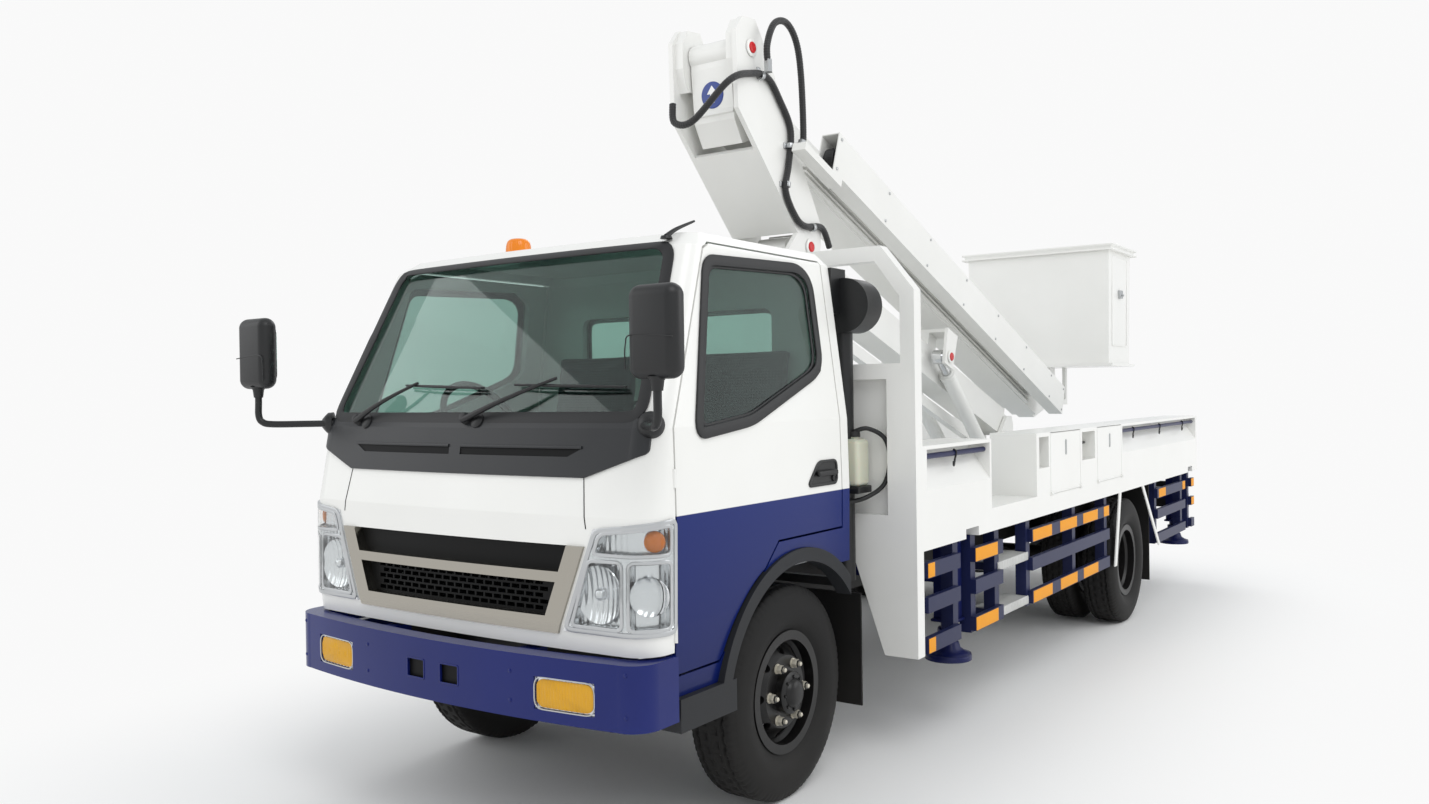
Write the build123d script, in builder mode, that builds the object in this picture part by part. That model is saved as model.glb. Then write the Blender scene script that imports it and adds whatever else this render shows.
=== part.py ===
import os
from math import cos, radians, sin

from build123d import *

os.makedirs("parts", exist_ok=True)

# The model is in millimetres: +X points forward, +Y to the vehicle's left, +Z up.
# The origin is on the ground, at the middle of the overall length and width.

# Overall sizes
overall_length = 6950
front_reach = 1060
wheelbase = 3900
body_width = 2100
overrun = 50
fit_gap = 0.5
front_axle_x = overall_length / 2 - front_reach
rear_axle_x = front_axle_x - wheelbase
body_half = body_width / 2

# Wheels
tyre_diameter = 802
tyre_width = 215
tyre_shoulder = 32
rim_diameter = 406
rim_flange = 26
rim_width = 168
rim_wall = 9
disc_thickness = 13
front_track = 1420
rear_track = 1600
twin_spacing = 260
hub_radius = 78
hub_length = 86
stud_circle = 222.25
stud_radius = 15
stud_height = 30
stud_count = 6
hand_hole_radius = 19
hand_hole_circle = 316
hand_hole_count = 8
spindle_radius = 30
kingpin_offset = 92
kingpin_radius = 24
tyre_radius = tyre_diameter / 2
rim_radius = rim_diameter / 2
wheel_z = tyre_radius

# Chassis
rail_half = 375
rail_flange = 62
rail_depth = 190
rail_top = 742
rail_wall = 7
rail_front = 850
crossmember_depth = 130
crossmember_width = 70
crossmember_shares = (0.03, 0.24, 0.43, 0.60, 0.765, 0.955)
tow_ahead = 790
tow_z = 462
tow_plate = 30
tow_reach = 52
tow_bore = 20
axle_beam = 70
spring_width = 60
spring_thickness = 42
spring_length = 1180
spring_camber = 95
rear_tube_radius = 58
banjo_radius = 165
shaft_radius = 35
engine_length = 900
engine_width = 520
engine_height = 400
engine_top = 905
engine_front = 330
tank_length = 900
tank_width = 400
tank_height = 340
tank_front_back = 1750
tank_corner = 60

# Cab
cab_back = 395
cab_floor_top = 1010
cab_floor = 36
cab_wall = 42
cab_bottom = 560
cab_tail_bottom = 850
cab_corner = 150
glass_inset = 9
glass_thickness = 6
door_front = 768
door_back = 338
door_gap = 8
hinge_pin_radius = 8
hinge_pin_height = 60
hinge_pin_y = 851
hinge_levels = (740, 1230)
arch_radius = 545
arch_gap = 10
flare_width = 52
flare_reach = 14
beacon_radius = 58
beacon_height = 92
beacon_taper = 4

# Cab sections from the sill to the roof, each with: height, distance of the nose ahead of
# the front axle, half width, bow of the nose across the width, distance of the back wall
# behind the front axle, radius of the front corners.
cab_crown = 2108
cab_sections = (
    (560, 905, 838, 26, 395, 100),
    (790, 938, 850, 30, 395, 110),
    (1140, 934, 855, 32, 395, 110),
    (1420, 888, 848, 46, 395, 95),
    (2035, 578, 768, 32, 395, 62),
    (2086, 500, 722, 28, 372, 60),
    (2108, 350, 600, 26, 300, 60),
)

# Body behind the cab
body_front_back = 668
body_back = 5890
body_bottom = 862
body_top = 1296
deck_top = 970
deck_plate = 24
deck_inset = 56
side_depth = 250
side_wall = 22
sub_rail_width = 80
post_size = 64
rack_top = 2130
rack_corner = 150
rack_shoulder = 1940
headboard_top = 1640
headboard_bottom = 430
headboard_thickness = 66
notch_floor = 970
bay_bottom = 1112
bay_lip = 16
bay_depth = 96
rod_radius = 9
door_thickness = 20
door_clear = 5
locker_low = 962
locker_inner_low = 985
locker_inner_high = 1272

# Side guards and jacks
guard_rail_height = 66
guard_rail_thickness = 26
guard_face = 1036
guard_levels = (771, 625, 455)
guard_post = 56
guard_post_low = 412
step_tread_depth = 150
jack_x_back_front = 1195
jack_x_back_rear = 5640
jack_y = 925
jack_tube = 96
jack_tube_low = 470
jack_tube_high = 900
jack_leg_radius = 33
jack_pad_radius = 104
jack_pad_height = 26
jack_pad_low = 300
outrigger_height = 84
outrigger_top = 852

# Lifting gear; the distances behind the front axle and the heights are pin centres.
turret_back = 3950
turret_radius = 380
turret_plate = 56
root_back = 4250
root_height = 1270
tip_back = 1250
tip_height = 2250
tie_offset_x = 186
tie_offset_z = -167
knuckle_back = 735
knuckle_height = 3115
arm_height = 196
arm_width = 172
arm_wall = 10
pin_radius = 30
boss_radius = 62
cheek_thickness = 26
cheek_gap = 4
tie_height = 66
tie_width = 50
ear_back = 2930
ear_height = 1735
ear_thickness = 20
ear_y = 198
cylinder_back = 3700
cylinder_height = 1078
cylinder_radius = 46
cylinder_y = 143
cylinder_rod_radius = 27
cylinder_eye_radius = 44
cylinder_eye_width = 60
riser_half = 192
riser_plate = 24
ear_pad = 46
boom_slope = 20
boom_drop = 165
boom_height = 230
boom_width = 226
boom_wall = 11
boom_length = 4300
slide_clearance = 6
pad_length = 110
telescope_start = 420
telescope_end = 4500
telescope_pin = 4850
telescope_wall = 9
tray_start = 700
tray_end = 4480
tray_drop = 157
tray_height = 215
tray_inner = 202
tray_outer = 304
tray_wall = 6
track_start = 720
track_end = 4400
rib_width = 28
rib_height = 12
rib_levels = (-104, -78, -46)
bucket_front_back = 5200
bucket_depth = 620
bucket_width = 1140
bucket_floor = 1720
bucket_top = 2640
bucket_wall = 8
bucket_rim = 46
bucket_rim_height = 44
bucket_taper = 14


def write(part, name):
    """Gives a finished piece its name and writes it."""
    part.label = name
    export_step(part, f"parts/{name}.step")


def ahead(distance):
    """X of a place that lies so far ahead of the front axle."""
    return front_axle_x + distance


def behind(distance):
    """X of a place that lies so far behind the front axle."""
    return front_axle_x - distance


def side_plane(y):
    """Plane seen from the right: local x is +X, local y is +Z, and it extrudes to the right."""
    return Plane(origin=(0, y, 0), x_dir=(1, 0, 0), z_dir=(0, -1, 0))


def front_plane(x):
    """Plane across the vehicle: local x is +Y, local y is +Z, and it extrudes forward."""
    return Plane(origin=(x, 0, 0), x_dir=(0, 1, 0), z_dir=(1, 0, 0))


def block(low, high, mode=Mode.ADD):
    """Box between its lowest and its highest corner."""
    middle = tuple((a + b) / 2 for a, b in zip(low, high))
    size = tuple(abs(b - a) for a, b in zip(low, high))
    with Locations(middle):
        Box(*size, mode=mode)


def mirror_blocks(low, high, mode=Mode.ADD):
    """The same box on the left and on the right."""
    for side in (1, -1):
        first = (low[0], side * low[1], low[2])
        second = (high[0], side * high[1], high[2])
        block(first, second, mode)


def slab(plane, points, thickness, mode=Mode.ADD, rounding=0):
    """Polygon on a plane, with its corners rounded where asked, given a thickness."""
    with BuildSketch(plane) as profile:
        with BuildLine():
            Polyline(*points, close=True)
        make_face()
        if rounding:
            fillet(profile.vertices(), radius=rounding)
    extrude(profile.sketch, amount=thickness, mode=mode)


def bar(start, end, radius, mode=Mode.ADD):
    """Round bar from one point to another."""
    run = Vector(*end) - Vector(*start)
    with BuildSketch(Plane(origin=start, z_dir=run)) as profile:
        Circle(radius)
    extrude(profile.sketch, amount=run.length, mode=mode)


def disc(x, y, z, radius, width, mode=Mode.ADD):
    """Round piece on a cross axis, from y towards the right."""
    with BuildSketch(side_plane(y)) as profile:
        with Locations((x, z)):
            Circle(radius)
    extrude(profile.sketch, amount=width, mode=mode)


# Wheels
def turned_ring(profile_points, side, centre_x, centre_y):
    """Ring about a wheel's axis; a point's first value runs outboard, its second is the radius."""
    plane = Plane(origin=(centre_x, centre_y, wheel_z), x_dir=(0, side, 0), z_dir=(side, 0, 0))
    with BuildSketch(plane) as profile:
        with BuildLine():
            Polyline(*profile_points, close=True)
        make_face()
    revolve(profile.sketch, axis=Axis((centre_x, centre_y, wheel_z), (0, 1, 0)))


def tyre_profile():
    """Half section of a tyre, closed on the rim."""
    half = tyre_width / 2
    seat = rim_width / 2 - rim_wall
    bead = rim_radius + fit_gap
    flank = (tyre_radius + bead) / 2
    return (
        (-seat, bead),
        (-seat, bead + rim_flange),
        (-half, flank),
        (-half + tyre_shoulder / 2, tyre_radius - tyre_shoulder),
        (-half + tyre_shoulder, tyre_radius),
        (half - tyre_shoulder, tyre_radius),
        (half - tyre_shoulder / 2, tyre_radius - tyre_shoulder),
        (half, flank),
        (seat, bead + rim_flange),
        (seat, bead),
    )


def rim_profile():
    """Section of the rim barrel with its two flanges and the drop centre."""
    half = rim_width / 2
    drop = rim_flange / 2
    outer = (
        (-half, rim_radius + rim_flange),
        (-half + rim_wall, rim_radius + rim_flange),
        (-half + rim_wall, rim_radius),
        (-half / 2, rim_radius),
        (-half / 3, rim_radius - drop),
        (half / 3, rim_radius - drop),
        (half / 2, rim_radius),
        (half - rim_wall, rim_radius),
        (half - rim_wall, rim_radius + rim_flange),
        (half, rim_radius + rim_flange),
    )
    inner = (
        (half, rim_radius - rim_wall),
        (half / 2, rim_radius - rim_wall),
        (half / 3, rim_radius - drop - rim_wall),
        (-half / 3, rim_radius - drop - rim_wall),
        (-half / 2, rim_radius - rim_wall),
        (-half, rim_radius - rim_wall),
    )
    return outer + inner


def disc_profile(face, crown):
    """Section of the wheel disc; face is its flat, crown the place of its rim weld."""
    bore = spindle_radius + fit_gap
    weld = rim_radius - rim_flange / 2 - rim_wall / 2
    flat = stud_circle / 2 + stud_radius + rim_wall
    run = Vector(crown - face, weld - flat).normalized()
    back = Vector(-run.Y, run.X) * disc_thickness
    return (
        (face, bore),
        (face, flat),
        (crown, weld),
        (crown + back.X, weld + back.Y),
        (face + back.X, flat + back.Y),
        (face - disc_thickness, flat + back.Y),
        (face - disc_thickness, bore),
    )


def wheel_studs(side, x, y, reach):
    """Nuts on the stud circle, with the oval hand holes cut between them and the rim."""
    plane = Plane(origin=(x, y, wheel_z), x_dir=(1, 0, 0), z_dir=(0, side, 0))
    with BuildSketch(plane) as nuts:
        with PolarLocations(stud_circle / 2, stud_count):
            RegularPolygon(stud_radius, 6)
    extrude(nuts.sketch, amount=reach)


def hand_holes(side, x, y, depth):
    """Round holes through the sloping part of the disc."""
    plane = Plane(origin=(x, y, wheel_z), x_dir=(1, 0, 0), z_dir=(0, side, 0))
    with BuildSketch(plane) as holes:
        with PolarLocations(hand_hole_circle / 2, hand_hole_count):
            Circle(hand_hole_radius)
    extrude(holes.sketch, amount=-depth, mode=Mode.SUBTRACT)


front_face = rim_width / 2 - disc_thickness
front_crown = rim_width / 8
rear_crown = 0
for side_name, side in (("left", 1), ("right", -1)):
    front_y = side * front_track / 2
    outer_y = side * (rear_track + twin_spacing) / 2
    inner_y = side * (rear_track - twin_spacing) / 2
    kingpin_y = side * (front_track / 2 - kingpin_offset)

    with BuildPart() as front_tyre:
        turned_ring(tyre_profile(), side, front_axle_x, front_y)
    write(front_tyre.part, f"tyre_front_{side_name}")

    with BuildPart() as front_rim:
        turned_ring(rim_profile(), side, front_axle_x, front_y)
        turned_ring(disc_profile(front_face, front_crown), side, front_axle_x, front_y)
        hand_holes(side, front_axle_x, front_y + side * rim_width / 2, rim_width)
        wheel_studs(side, front_axle_x, front_y + side * front_face, stud_height)
        hub_start = front_y + side * (front_face - hub_length)
        bar((front_axle_x, hub_start, wheel_z),
            (front_axle_x, hub_start + side * (hub_length + stud_height), wheel_z), hub_radius)
        bar((front_axle_x, hub_start - side * fit_gap, wheel_z),
            (front_axle_x, hub_start + side * hub_length, wheel_z),
            spindle_radius + fit_gap, Mode.SUBTRACT)
    write(front_rim.part, f"wheel_front_{side_name}")

    with BuildPart() as rear_tyres:
        for twin_y in (outer_y, inner_y):
            turned_ring(tyre_profile(), side, rear_axle_x, twin_y)
    write(rear_tyres.part, f"tyres_rear_{side_name}")

    with BuildPart() as rear_rims:
        turned_ring(rim_profile(), side, rear_axle_x, outer_y)
        turned_ring(rim_profile(), -side, rear_axle_x, inner_y)
        mate = twin_spacing / 2 - disc_thickness
        turned_ring(disc_profile(-mate, rear_crown), side, rear_axle_x, outer_y)
        turned_ring(disc_profile(-mate, rear_crown), -side, rear_axle_x, inner_y)
        rear_hub_start = inner_y
        rear_hub_end = outer_y - side * mate
        bar((rear_axle_x, rear_hub_start, wheel_z),
            (rear_axle_x, rear_hub_end + side * stud_height * 2, wheel_z), hub_radius)
        wheel_studs(side, rear_axle_x, rear_hub_end, stud_height)
        bar((rear_axle_x, rear_hub_start - side * fit_gap, wheel_z),
            (rear_axle_x, rear_hub_end, wheel_z), rear_tube_radius + fit_gap, Mode.SUBTRACT)
    write(rear_rims.part, f"wheels_rear_{side_name}")

    with BuildPart() as knuckle:
        bar((front_axle_x, kingpin_y, wheel_z - axle_beam * 1.2),
            (front_axle_x, kingpin_y, wheel_z + axle_beam * 1.2), kingpin_radius * 1.7)
        bar((front_axle_x, kingpin_y, wheel_z),
            (front_axle_x, front_y + side * (front_face - disc_thickness), wheel_z), spindle_radius)
        block((front_axle_x - axle_beam, kingpin_y - side * axle_beam, wheel_z - axle_beam / 2 - fit_gap),
              (front_axle_x + axle_beam, kingpin_y + side * axle_beam / 2,
               wheel_z + axle_beam / 2 + fit_gap),
              Mode.SUBTRACT)
        bar((front_axle_x, kingpin_y + side * (axle_beam / 2 + fit_gap), wheel_z),
            (front_axle_x, kingpin_y + side * (axle_beam / 2 + disc_thickness), wheel_z),
            axle_beam * 1.2)
    write(knuckle.part, f"knuckle_{side_name}")


# Chassis
rail_low = rail_top - rail_depth
tow_x = ahead(tow_ahead)
rail_start = ahead(rail_front)
rail_end = behind(body_back - rail_flange)
rail_run = rail_start - rail_end
with BuildPart() as chassis_frame:
    for side in (1, -1):
        outer = side * rail_half
        web = side * (rail_half - rail_wall)
        inner = side * (rail_half - rail_flange)
        block((rail_end, web, rail_low), (rail_start, outer, rail_top))
        block((rail_end, inner, rail_low), (rail_start, outer, rail_low + rail_wall))
        block((rail_end, inner, rail_top - rail_wall), (rail_start, outer, rail_top))
    for side in (1, -1):
        eye_inner = side * (rail_half - tow_plate)
        block((tow_x - tow_reach, eye_inner, tow_z - tow_reach * 0.6),
              (tow_x + tow_reach * 0.6, side * rail_half, rail_low))
        bar((tow_x, side * (rail_half - tow_plate * 2), tow_z),
            (tow_x, side * (rail_half + tow_plate), tow_z),
            tow_bore, Mode.SUBTRACT)
    member_mid = (rail_low + rail_top) / 2
    for share in crossmember_shares:
        member_x = rail_end + rail_run * share
        block((member_x - crossmember_width / 2, -rail_half + rail_wall,
               member_mid - crossmember_depth / 2),
              (member_x + crossmember_width / 2, rail_half - rail_wall, member_mid + crossmember_depth / 2))
write(chassis_frame.part, "chassis_frame")

with BuildPart() as engine_block:
    engine_start = ahead(engine_front)
    block((engine_start - engine_length, -engine_width / 2, engine_top - engine_height),
          (engine_start, engine_width / 2, engine_top))
    for rail_side in (1, -1):
        block((engine_start - engine_length - overrun,
               rail_side * (rail_half - rail_flange - rail_wall), rail_low - overrun),
              (engine_start + overrun, rail_side * rail_half, rail_top + rail_wall), Mode.SUBTRACT)
write(engine_block.part, "engine_block")


def leaf_springs(axle_x, spring_top):
    """Pair of bowed leaf packs that hang under the rails."""
    seat = spring_top - spring_camber
    for side in (1, -1):
        inner_y = side * (rail_half - spring_width)
        start = (axle_x - spring_length / 2, spring_top)
        middle = (axle_x, seat)
        end = (axle_x + spring_length / 2, spring_top)
        with BuildSketch(side_plane(max(inner_y, inner_y + side * spring_width))) as profile:
            with BuildLine():
                ThreePointArc(start, middle, end)
                Line(end, (end[0], end[1] - spring_thickness / 2))
                ThreePointArc((end[0], end[1] - spring_thickness / 2),
                              (middle[0], middle[1] - spring_thickness),
                              (start[0], start[1] - spring_thickness / 2))
                Line((start[0], start[1] - spring_thickness / 2), start)
            make_face()
        extrude(profile.sketch, amount=spring_width)
        for end_x in (start[0], end[0]):
            block((end_x - spring_thickness, inner_y, spring_top - spring_thickness / 2),
                  (end_x + spring_thickness, inner_y + side * spring_width, rail_low))


spring_top = rail_low - spring_thickness / 2
with BuildPart() as front_axle:
    beam_top = spring_top - spring_camber - spring_thickness
    kingpin_half = front_track / 2 - kingpin_offset
    slab(side_plane(kingpin_half), (
        (front_axle_x - axle_beam / 2, beam_top),
        (front_axle_x + axle_beam / 2, beam_top),
        (front_axle_x + axle_beam / 2, beam_top - axle_beam),
        (front_axle_x - axle_beam / 2, beam_top - axle_beam),
    ), kingpin_half * 2)
    beam_half = kingpin_half - axle_beam * 1.6
    neck_half = kingpin_half - kingpin_radius * 2
    mirror_blocks((front_axle_x - axle_beam, beam_half, beam_top - axle_beam - overrun),
                  (front_axle_x + axle_beam, kingpin_half + overrun, beam_top + overrun), Mode.SUBTRACT)
    for side in (1, -1):
        slab(front_plane(front_axle_x - axle_beam / 2), (
            (side * beam_half, beam_top - axle_beam),
            (side * beam_half, beam_top),
            (side * neck_half, wheel_z + axle_beam / 2),
            (side * kingpin_half, wheel_z + axle_beam / 2),
            (side * kingpin_half, wheel_z - axle_beam / 2),
            (side * neck_half, wheel_z - axle_beam / 2),
        ), axle_beam)
        bar((front_axle_x, side * kingpin_half, wheel_z - axle_beam / 2),
            (front_axle_x, side * kingpin_half, wheel_z + axle_beam / 2), axle_beam / 2 - fit_gap * 2)
        mirror_blocks((front_axle_x - axle_beam, kingpin_half, wheel_z - axle_beam),
                      (front_axle_x + axle_beam, kingpin_half + axle_beam, wheel_z + axle_beam),
                      Mode.SUBTRACT)
    leaf_springs(front_axle_x, spring_top)
    mirror_blocks((front_axle_x - axle_beam / 2, rail_half - spring_width, beam_top - axle_beam / 2),
                  (front_axle_x + axle_beam / 2, rail_half, beam_top + spring_thickness / 2))
write(front_axle.part, "front_axle")

with BuildPart() as rear_axle:
    tube_end = (rear_track + twin_spacing) / 2 - (twin_spacing / 2 - disc_thickness) - fit_gap
    bar((rear_axle_x, -tube_end, wheel_z), (rear_axle_x, tube_end, wheel_z), rear_tube_radius)
    with Locations((rear_axle_x, 0, wheel_z)):
        Sphere(banjo_radius)
    shaft_end_x = behind(engine_length - engine_front + cheek_gap / 2)
    bar((rear_axle_x, 0, wheel_z), (shaft_end_x, 0, engine_top - engine_height + shaft_radius),
        shaft_radius)
    for side in (1, -1):
        seat_y = side * (rail_half - spring_width)
        block((rear_axle_x - rear_tube_radius, seat_y, wheel_z),
              (rear_axle_x + rear_tube_radius, seat_y + side * spring_width, spring_top - spring_camber))
    leaf_springs(rear_axle_x, spring_top)
write(rear_axle.part, "rear_axle")

with BuildPart() as fuel_tank:
    tank_back_x = behind(tank_front_back + tank_length)
    tank_inner = -(rail_half + rail_wall)
    with BuildSketch(front_plane(tank_back_x)) as tank_end:
        with Locations((tank_inner - tank_width / 2, rail_top - rail_wall - tank_height / 2)):
            RectangleRounded(tank_width, tank_height, tank_corner)
    extrude(tank_end.sketch, amount=tank_length)
    block((tank_back_x + tank_corner, -rail_half, rail_low),
          (tank_back_x + tank_length - tank_corner, tank_inner - tank_corner, rail_low + rail_wall * 4))
write(fuel_tank.part, "fuel_tank")


# Cab
def cab_form(inset):
    """The cab's closed outer form, moved inwards by an inset."""
    with BuildPart() as form:
        for height, nose, half, bow, back, corner in cab_sections:
            z = height - inset if height == cab_crown else height
            front = ahead(nose - inset)
            rear = behind(back - inset)
            width = half - inset
            turn = max(corner - inset, cab_wall / 2)
            flank = front - bow
            with BuildSketch(Plane.XY.offset(z)):
                with BuildLine():
                    Line((flank - turn, width), (rear, width))
                    Line((rear, width), (rear, -width))
                    Line((rear, -width), (flank - turn, -width))
                    ThreePointArc((flank - turn, -width),
                                  (flank - turn * 0.29, -width + turn * 0.29),
                                  (flank, -width + turn))
                    ThreePointArc((flank, -width + turn), (front, 0), (flank, width - turn))
                    ThreePointArc((flank, width - turn),
                                  (flank - turn * 0.29, width - turn * 0.29),
                                  (flank - turn, width))
                make_face()
        loft(ruled=True)
    return form.part


def prism(plane, points, thickness, rounding=0):
    """Free cutter made from a polygon."""
    with BuildPart() as cutter:
        slab(plane, points, thickness, rounding=rounding)
    return cutter.part


cab_outer = cab_form(0)
cab_inner = cab_form(cab_wall)
cab_span = cab_sections[0][2] * 3

# Door outline, seen from the side: places ahead of the front axle and heights.
door_sill_z = 626
door_belt_x = 762
door_top_front = 478
door_top_z = 2052
door_arch_z = 985
door_side = (
    (ahead(door_front), door_sill_z),
    (ahead(door_belt_x), cab_sections[3][0]),
    (ahead(door_top_front), door_top_z - door_gap * 3),
    (ahead(door_top_front - cab_corner / 3), door_top_z),
    (behind(door_back), door_top_z),
    (behind(door_back), door_arch_z),
    (ahead(arch_radius * 0.26), door_arch_z),
    (ahead(arch_radius * 0.94), door_sill_z),
)
window_side = (
    (ahead(632), 1392),
    (ahead(470), 1984),
    (behind(150), 2006),
    (behind(226), 1960),
    (behind(226), 1640),
    (behind(180), 1598),
    (ahead(300), 1430),
)


def arch_cutter(radius, low):
    """Wheel arch opening: a half round on two straight legs."""
    with BuildPart() as cutter:
        disc(front_axle_x, cab_span / 2, wheel_z, radius, cab_span)
        block((front_axle_x - radius, -cab_span / 2, low), (front_axle_x + radius, cab_span / 2, wheel_z))
    return cutter.part


# Bumper sizes
bumper_low = 492
bumper_high = 700
bumper_nose = 1024
bumper_bow = 62
bumper_half = 862
bumper_side_back = 768
bumper_corner = 92
bumper_wall = 64
fog_half = 574
fog_width = 232
fog_height = 104
fog_z = 582
fog_depth = 40
hole_half = 84
hole_width = 92
hole_height = 70
hole_z = 594

# Openings in the nose, seen from the front: half widths and heights.
screen_low = 1452
screen_high = 2034
screen_low_half = 772
screen_high_half = 690
lamp_outer = 900
lamp_low = 772
lamp_high = 1137
lamp_inner_low = 520
lamp_inner_high = 640
grille_low = 760
grille_high = 1046
grille_half_low = 498
grille_half_high = 606
nose_depth = 400
lamp_depth = 84
grille_depth = 30
frame_width = 50
frame_height = 34
frame_proud = 9

screen_front = (
    (-screen_low_half, screen_low),
    (screen_low_half, screen_low),
    (screen_high_half, screen_high),
    (-screen_high_half, screen_high),
)
grille_front = (
    (-grille_half_low, grille_low),
    (grille_half_low, grille_low),
    (grille_half_high, grille_high),
    (-grille_half_high, grille_high),
)
lamp_front = (
    (lamp_inner_low, lamp_low),
    (lamp_outer, lamp_low),
    (lamp_outer, lamp_high),
    (lamp_inner_high, lamp_high - frame_height),
)
nose_x = ahead(nose_depth)
lamp_x = ahead(cab_sections[1][1] - lamp_depth * 2)


def mirrored_points(points):
    """The same outline on the other side."""
    return tuple((-y, z) for y, z in points)


screen_prism = prism(front_plane(nose_x), screen_front, nose_depth * 2, cab_wall)
grille_prism = prism(front_plane(ahead(cab_sections[1][1] - lamp_depth)), grille_front, nose_depth)
lamp_prisms = (
    prism(front_plane(lamp_x), lamp_front, nose_depth),
    prism(front_plane(lamp_x), mirrored_points(lamp_front), nose_depth),
)
rear_window_half = 520
rear_window_low = 1480
rear_window_high = 1880
rear_window = (
    (-rear_window_half, rear_window_low),
    (rear_window_half, rear_window_low),
    (rear_window_half, rear_window_high),
    (-rear_window_half, rear_window_high),
)
rear_prism = prism(front_plane(behind(cab_back + overrun)), rear_window, overrun * 2 + cab_wall, cab_wall)


def side_prism(side, points, inner_y, outer_y, rounding=0):
    """Cutter through one side of the cab, from an outline seen from the side."""
    start = outer_y if side > 0 else -inner_y
    return prism(side_plane(start), points, outer_y - inner_y, rounding)


def cab_skin(inset, thickness, cutter):
    """Layer that follows the cab's outer form, kept only inside a cutter."""
    with BuildPart() as skin:
        add(cab_form(inset))
        add(cab_form(inset + thickness), mode=Mode.SUBTRACT)
        add(cutter, mode=Mode.INTERSECT)
    return skin.part


def hinge_pins(side, radius, mode=Mode.ADD):
    """The two upright door hinge pins of one side."""
    for level in hinge_levels:
        foot = (ahead(door_belt_x), side * hinge_pin_y, level)
        bar(foot, (foot[0], foot[1], level + hinge_pin_height), radius, mode)


arch_low = cab_bottom - overrun
arch_hole = arch_cutter(arch_radius, arch_low)
window_rounding = 44
side_inner = cab_sections[3][2] / 2
side_outer = cab_span / 2
with BuildPart() as floor_plate:
    block((behind(cab_back), -cab_span / 2, cab_floor_top - cab_floor),
          (ahead(nose_depth * 3), cab_span / 2, cab_floor_top))
    add(cab_inner, mode=Mode.INTERSECT)
with BuildPart() as cab_shell:
    add(cab_outer)
    add(cab_inner, mode=Mode.SUBTRACT)
    add(floor_plate.part)
    add(arch_hole, mode=Mode.SUBTRACT)
    block((behind(cab_back + overrun), -cab_span / 2, 0),
          (front_axle_x, cab_span / 2, cab_tail_bottom), Mode.SUBTRACT)
    block((behind(cab_back + overrun), -rail_half, 0),
          (front_axle_x, rail_half, cab_floor_top - cab_floor * 2), Mode.SUBTRACT)
    block((ahead(bumper_side_back - door_gap), -cab_span / 2, 0),
          (ahead(nose_depth * 3), cab_span / 2, bumper_high + door_gap), Mode.SUBTRACT)
    add(screen_prism, mode=Mode.SUBTRACT)
    add(grille_prism, mode=Mode.SUBTRACT)
    add(rear_prism, mode=Mode.SUBTRACT)
    for lamp_prism in lamp_prisms:
        add(lamp_prism, mode=Mode.SUBTRACT)
    for side in (1, -1):
        add(side_prism(side, door_side, side_inner, side_outer), mode=Mode.SUBTRACT)
    for side in (1, -1):
        hinge_pins(side, hinge_pin_radius)
write(cab_shell.part, "cab_shell")

# Doors: cut from the same walls, smaller by the gap round them.
for side_name, side in (("left", 1), ("right", -1)):
    window_prism = side_prism(side, window_side, side_inner, side_outer, window_rounding)
    with BuildPart() as door:
        add(cab_outer)
        add(cab_inner, mode=Mode.SUBTRACT)
        with BuildSketch(side_plane(side_outer if side > 0 else -side_inner)) as door_edge:
            with BuildLine():
                Polyline(*door_side, close=True)
            make_face()
            offset(amount=-door_gap, kind=Kind.INTERSECTION)
        extrude(door_edge.sketch, amount=side_outer - side_inner, mode=Mode.INTERSECT)
        add(window_prism, mode=Mode.SUBTRACT)
        add(arch_cutter(arch_radius + arch_gap, arch_low), mode=Mode.SUBTRACT)
        hinge_pins(side, hinge_pin_radius + fit_gap, Mode.SUBTRACT)
    write(door.part, f"door_{side_name}")
    write(cab_skin(glass_inset, glass_thickness, window_prism), f"door_glass_{side_name}")

with BuildPart() as cab_glass:
    add(cab_skin(glass_inset, glass_thickness, screen_prism))
    add(cab_skin(glass_inset, glass_thickness, rear_prism))
write(cab_glass.part, "cab_glass")

# Black panel under the windscreen, the grille and the lamps
panel_low = 1262
panel_high = screen_low - fit_gap
panel_low_half = 590
panel_bulge = 7
panel_turn_z = panel_low + (panel_high - panel_low) * 0.42
panel_top_half = screen_low_half + cab_wall
panel_front = (
    (-panel_low_half, panel_low),
    (panel_low_half, panel_low),
    (panel_top_half, panel_turn_z),
    (panel_top_half, panel_high),
    (-panel_top_half, panel_high),
    (-panel_top_half, panel_turn_z),
)
panel_start = ahead(cab_sections[3][1] - cab_corner)
panel_prism = prism(front_plane(panel_start), panel_front, nose_depth, cab_wall / 2)
slot_low = 1328
slot_high = 1356
slot_inner = 28
slot_outer_low = 515
slot_outer_high = 572
slot_depth = 4
slot_front = (
    (slot_inner, slot_low),
    (slot_outer_low, slot_low),
    (slot_outer_high, slot_high),
    (slot_inner, slot_high),
)
with BuildPart() as garnish_panel:
    add(cab_skin(-panel_bulge, panel_bulge, panel_prism))
    for outline in (slot_front, mirrored_points(slot_front)):
        slot_cutter = prism(front_plane(panel_start), outline, nose_depth)
        add(cab_skin(-panel_bulge * 2, panel_bulge + slot_depth, slot_cutter), mode=Mode.SUBTRACT)
write(garnish_panel.part, "garnish_panel")

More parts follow.
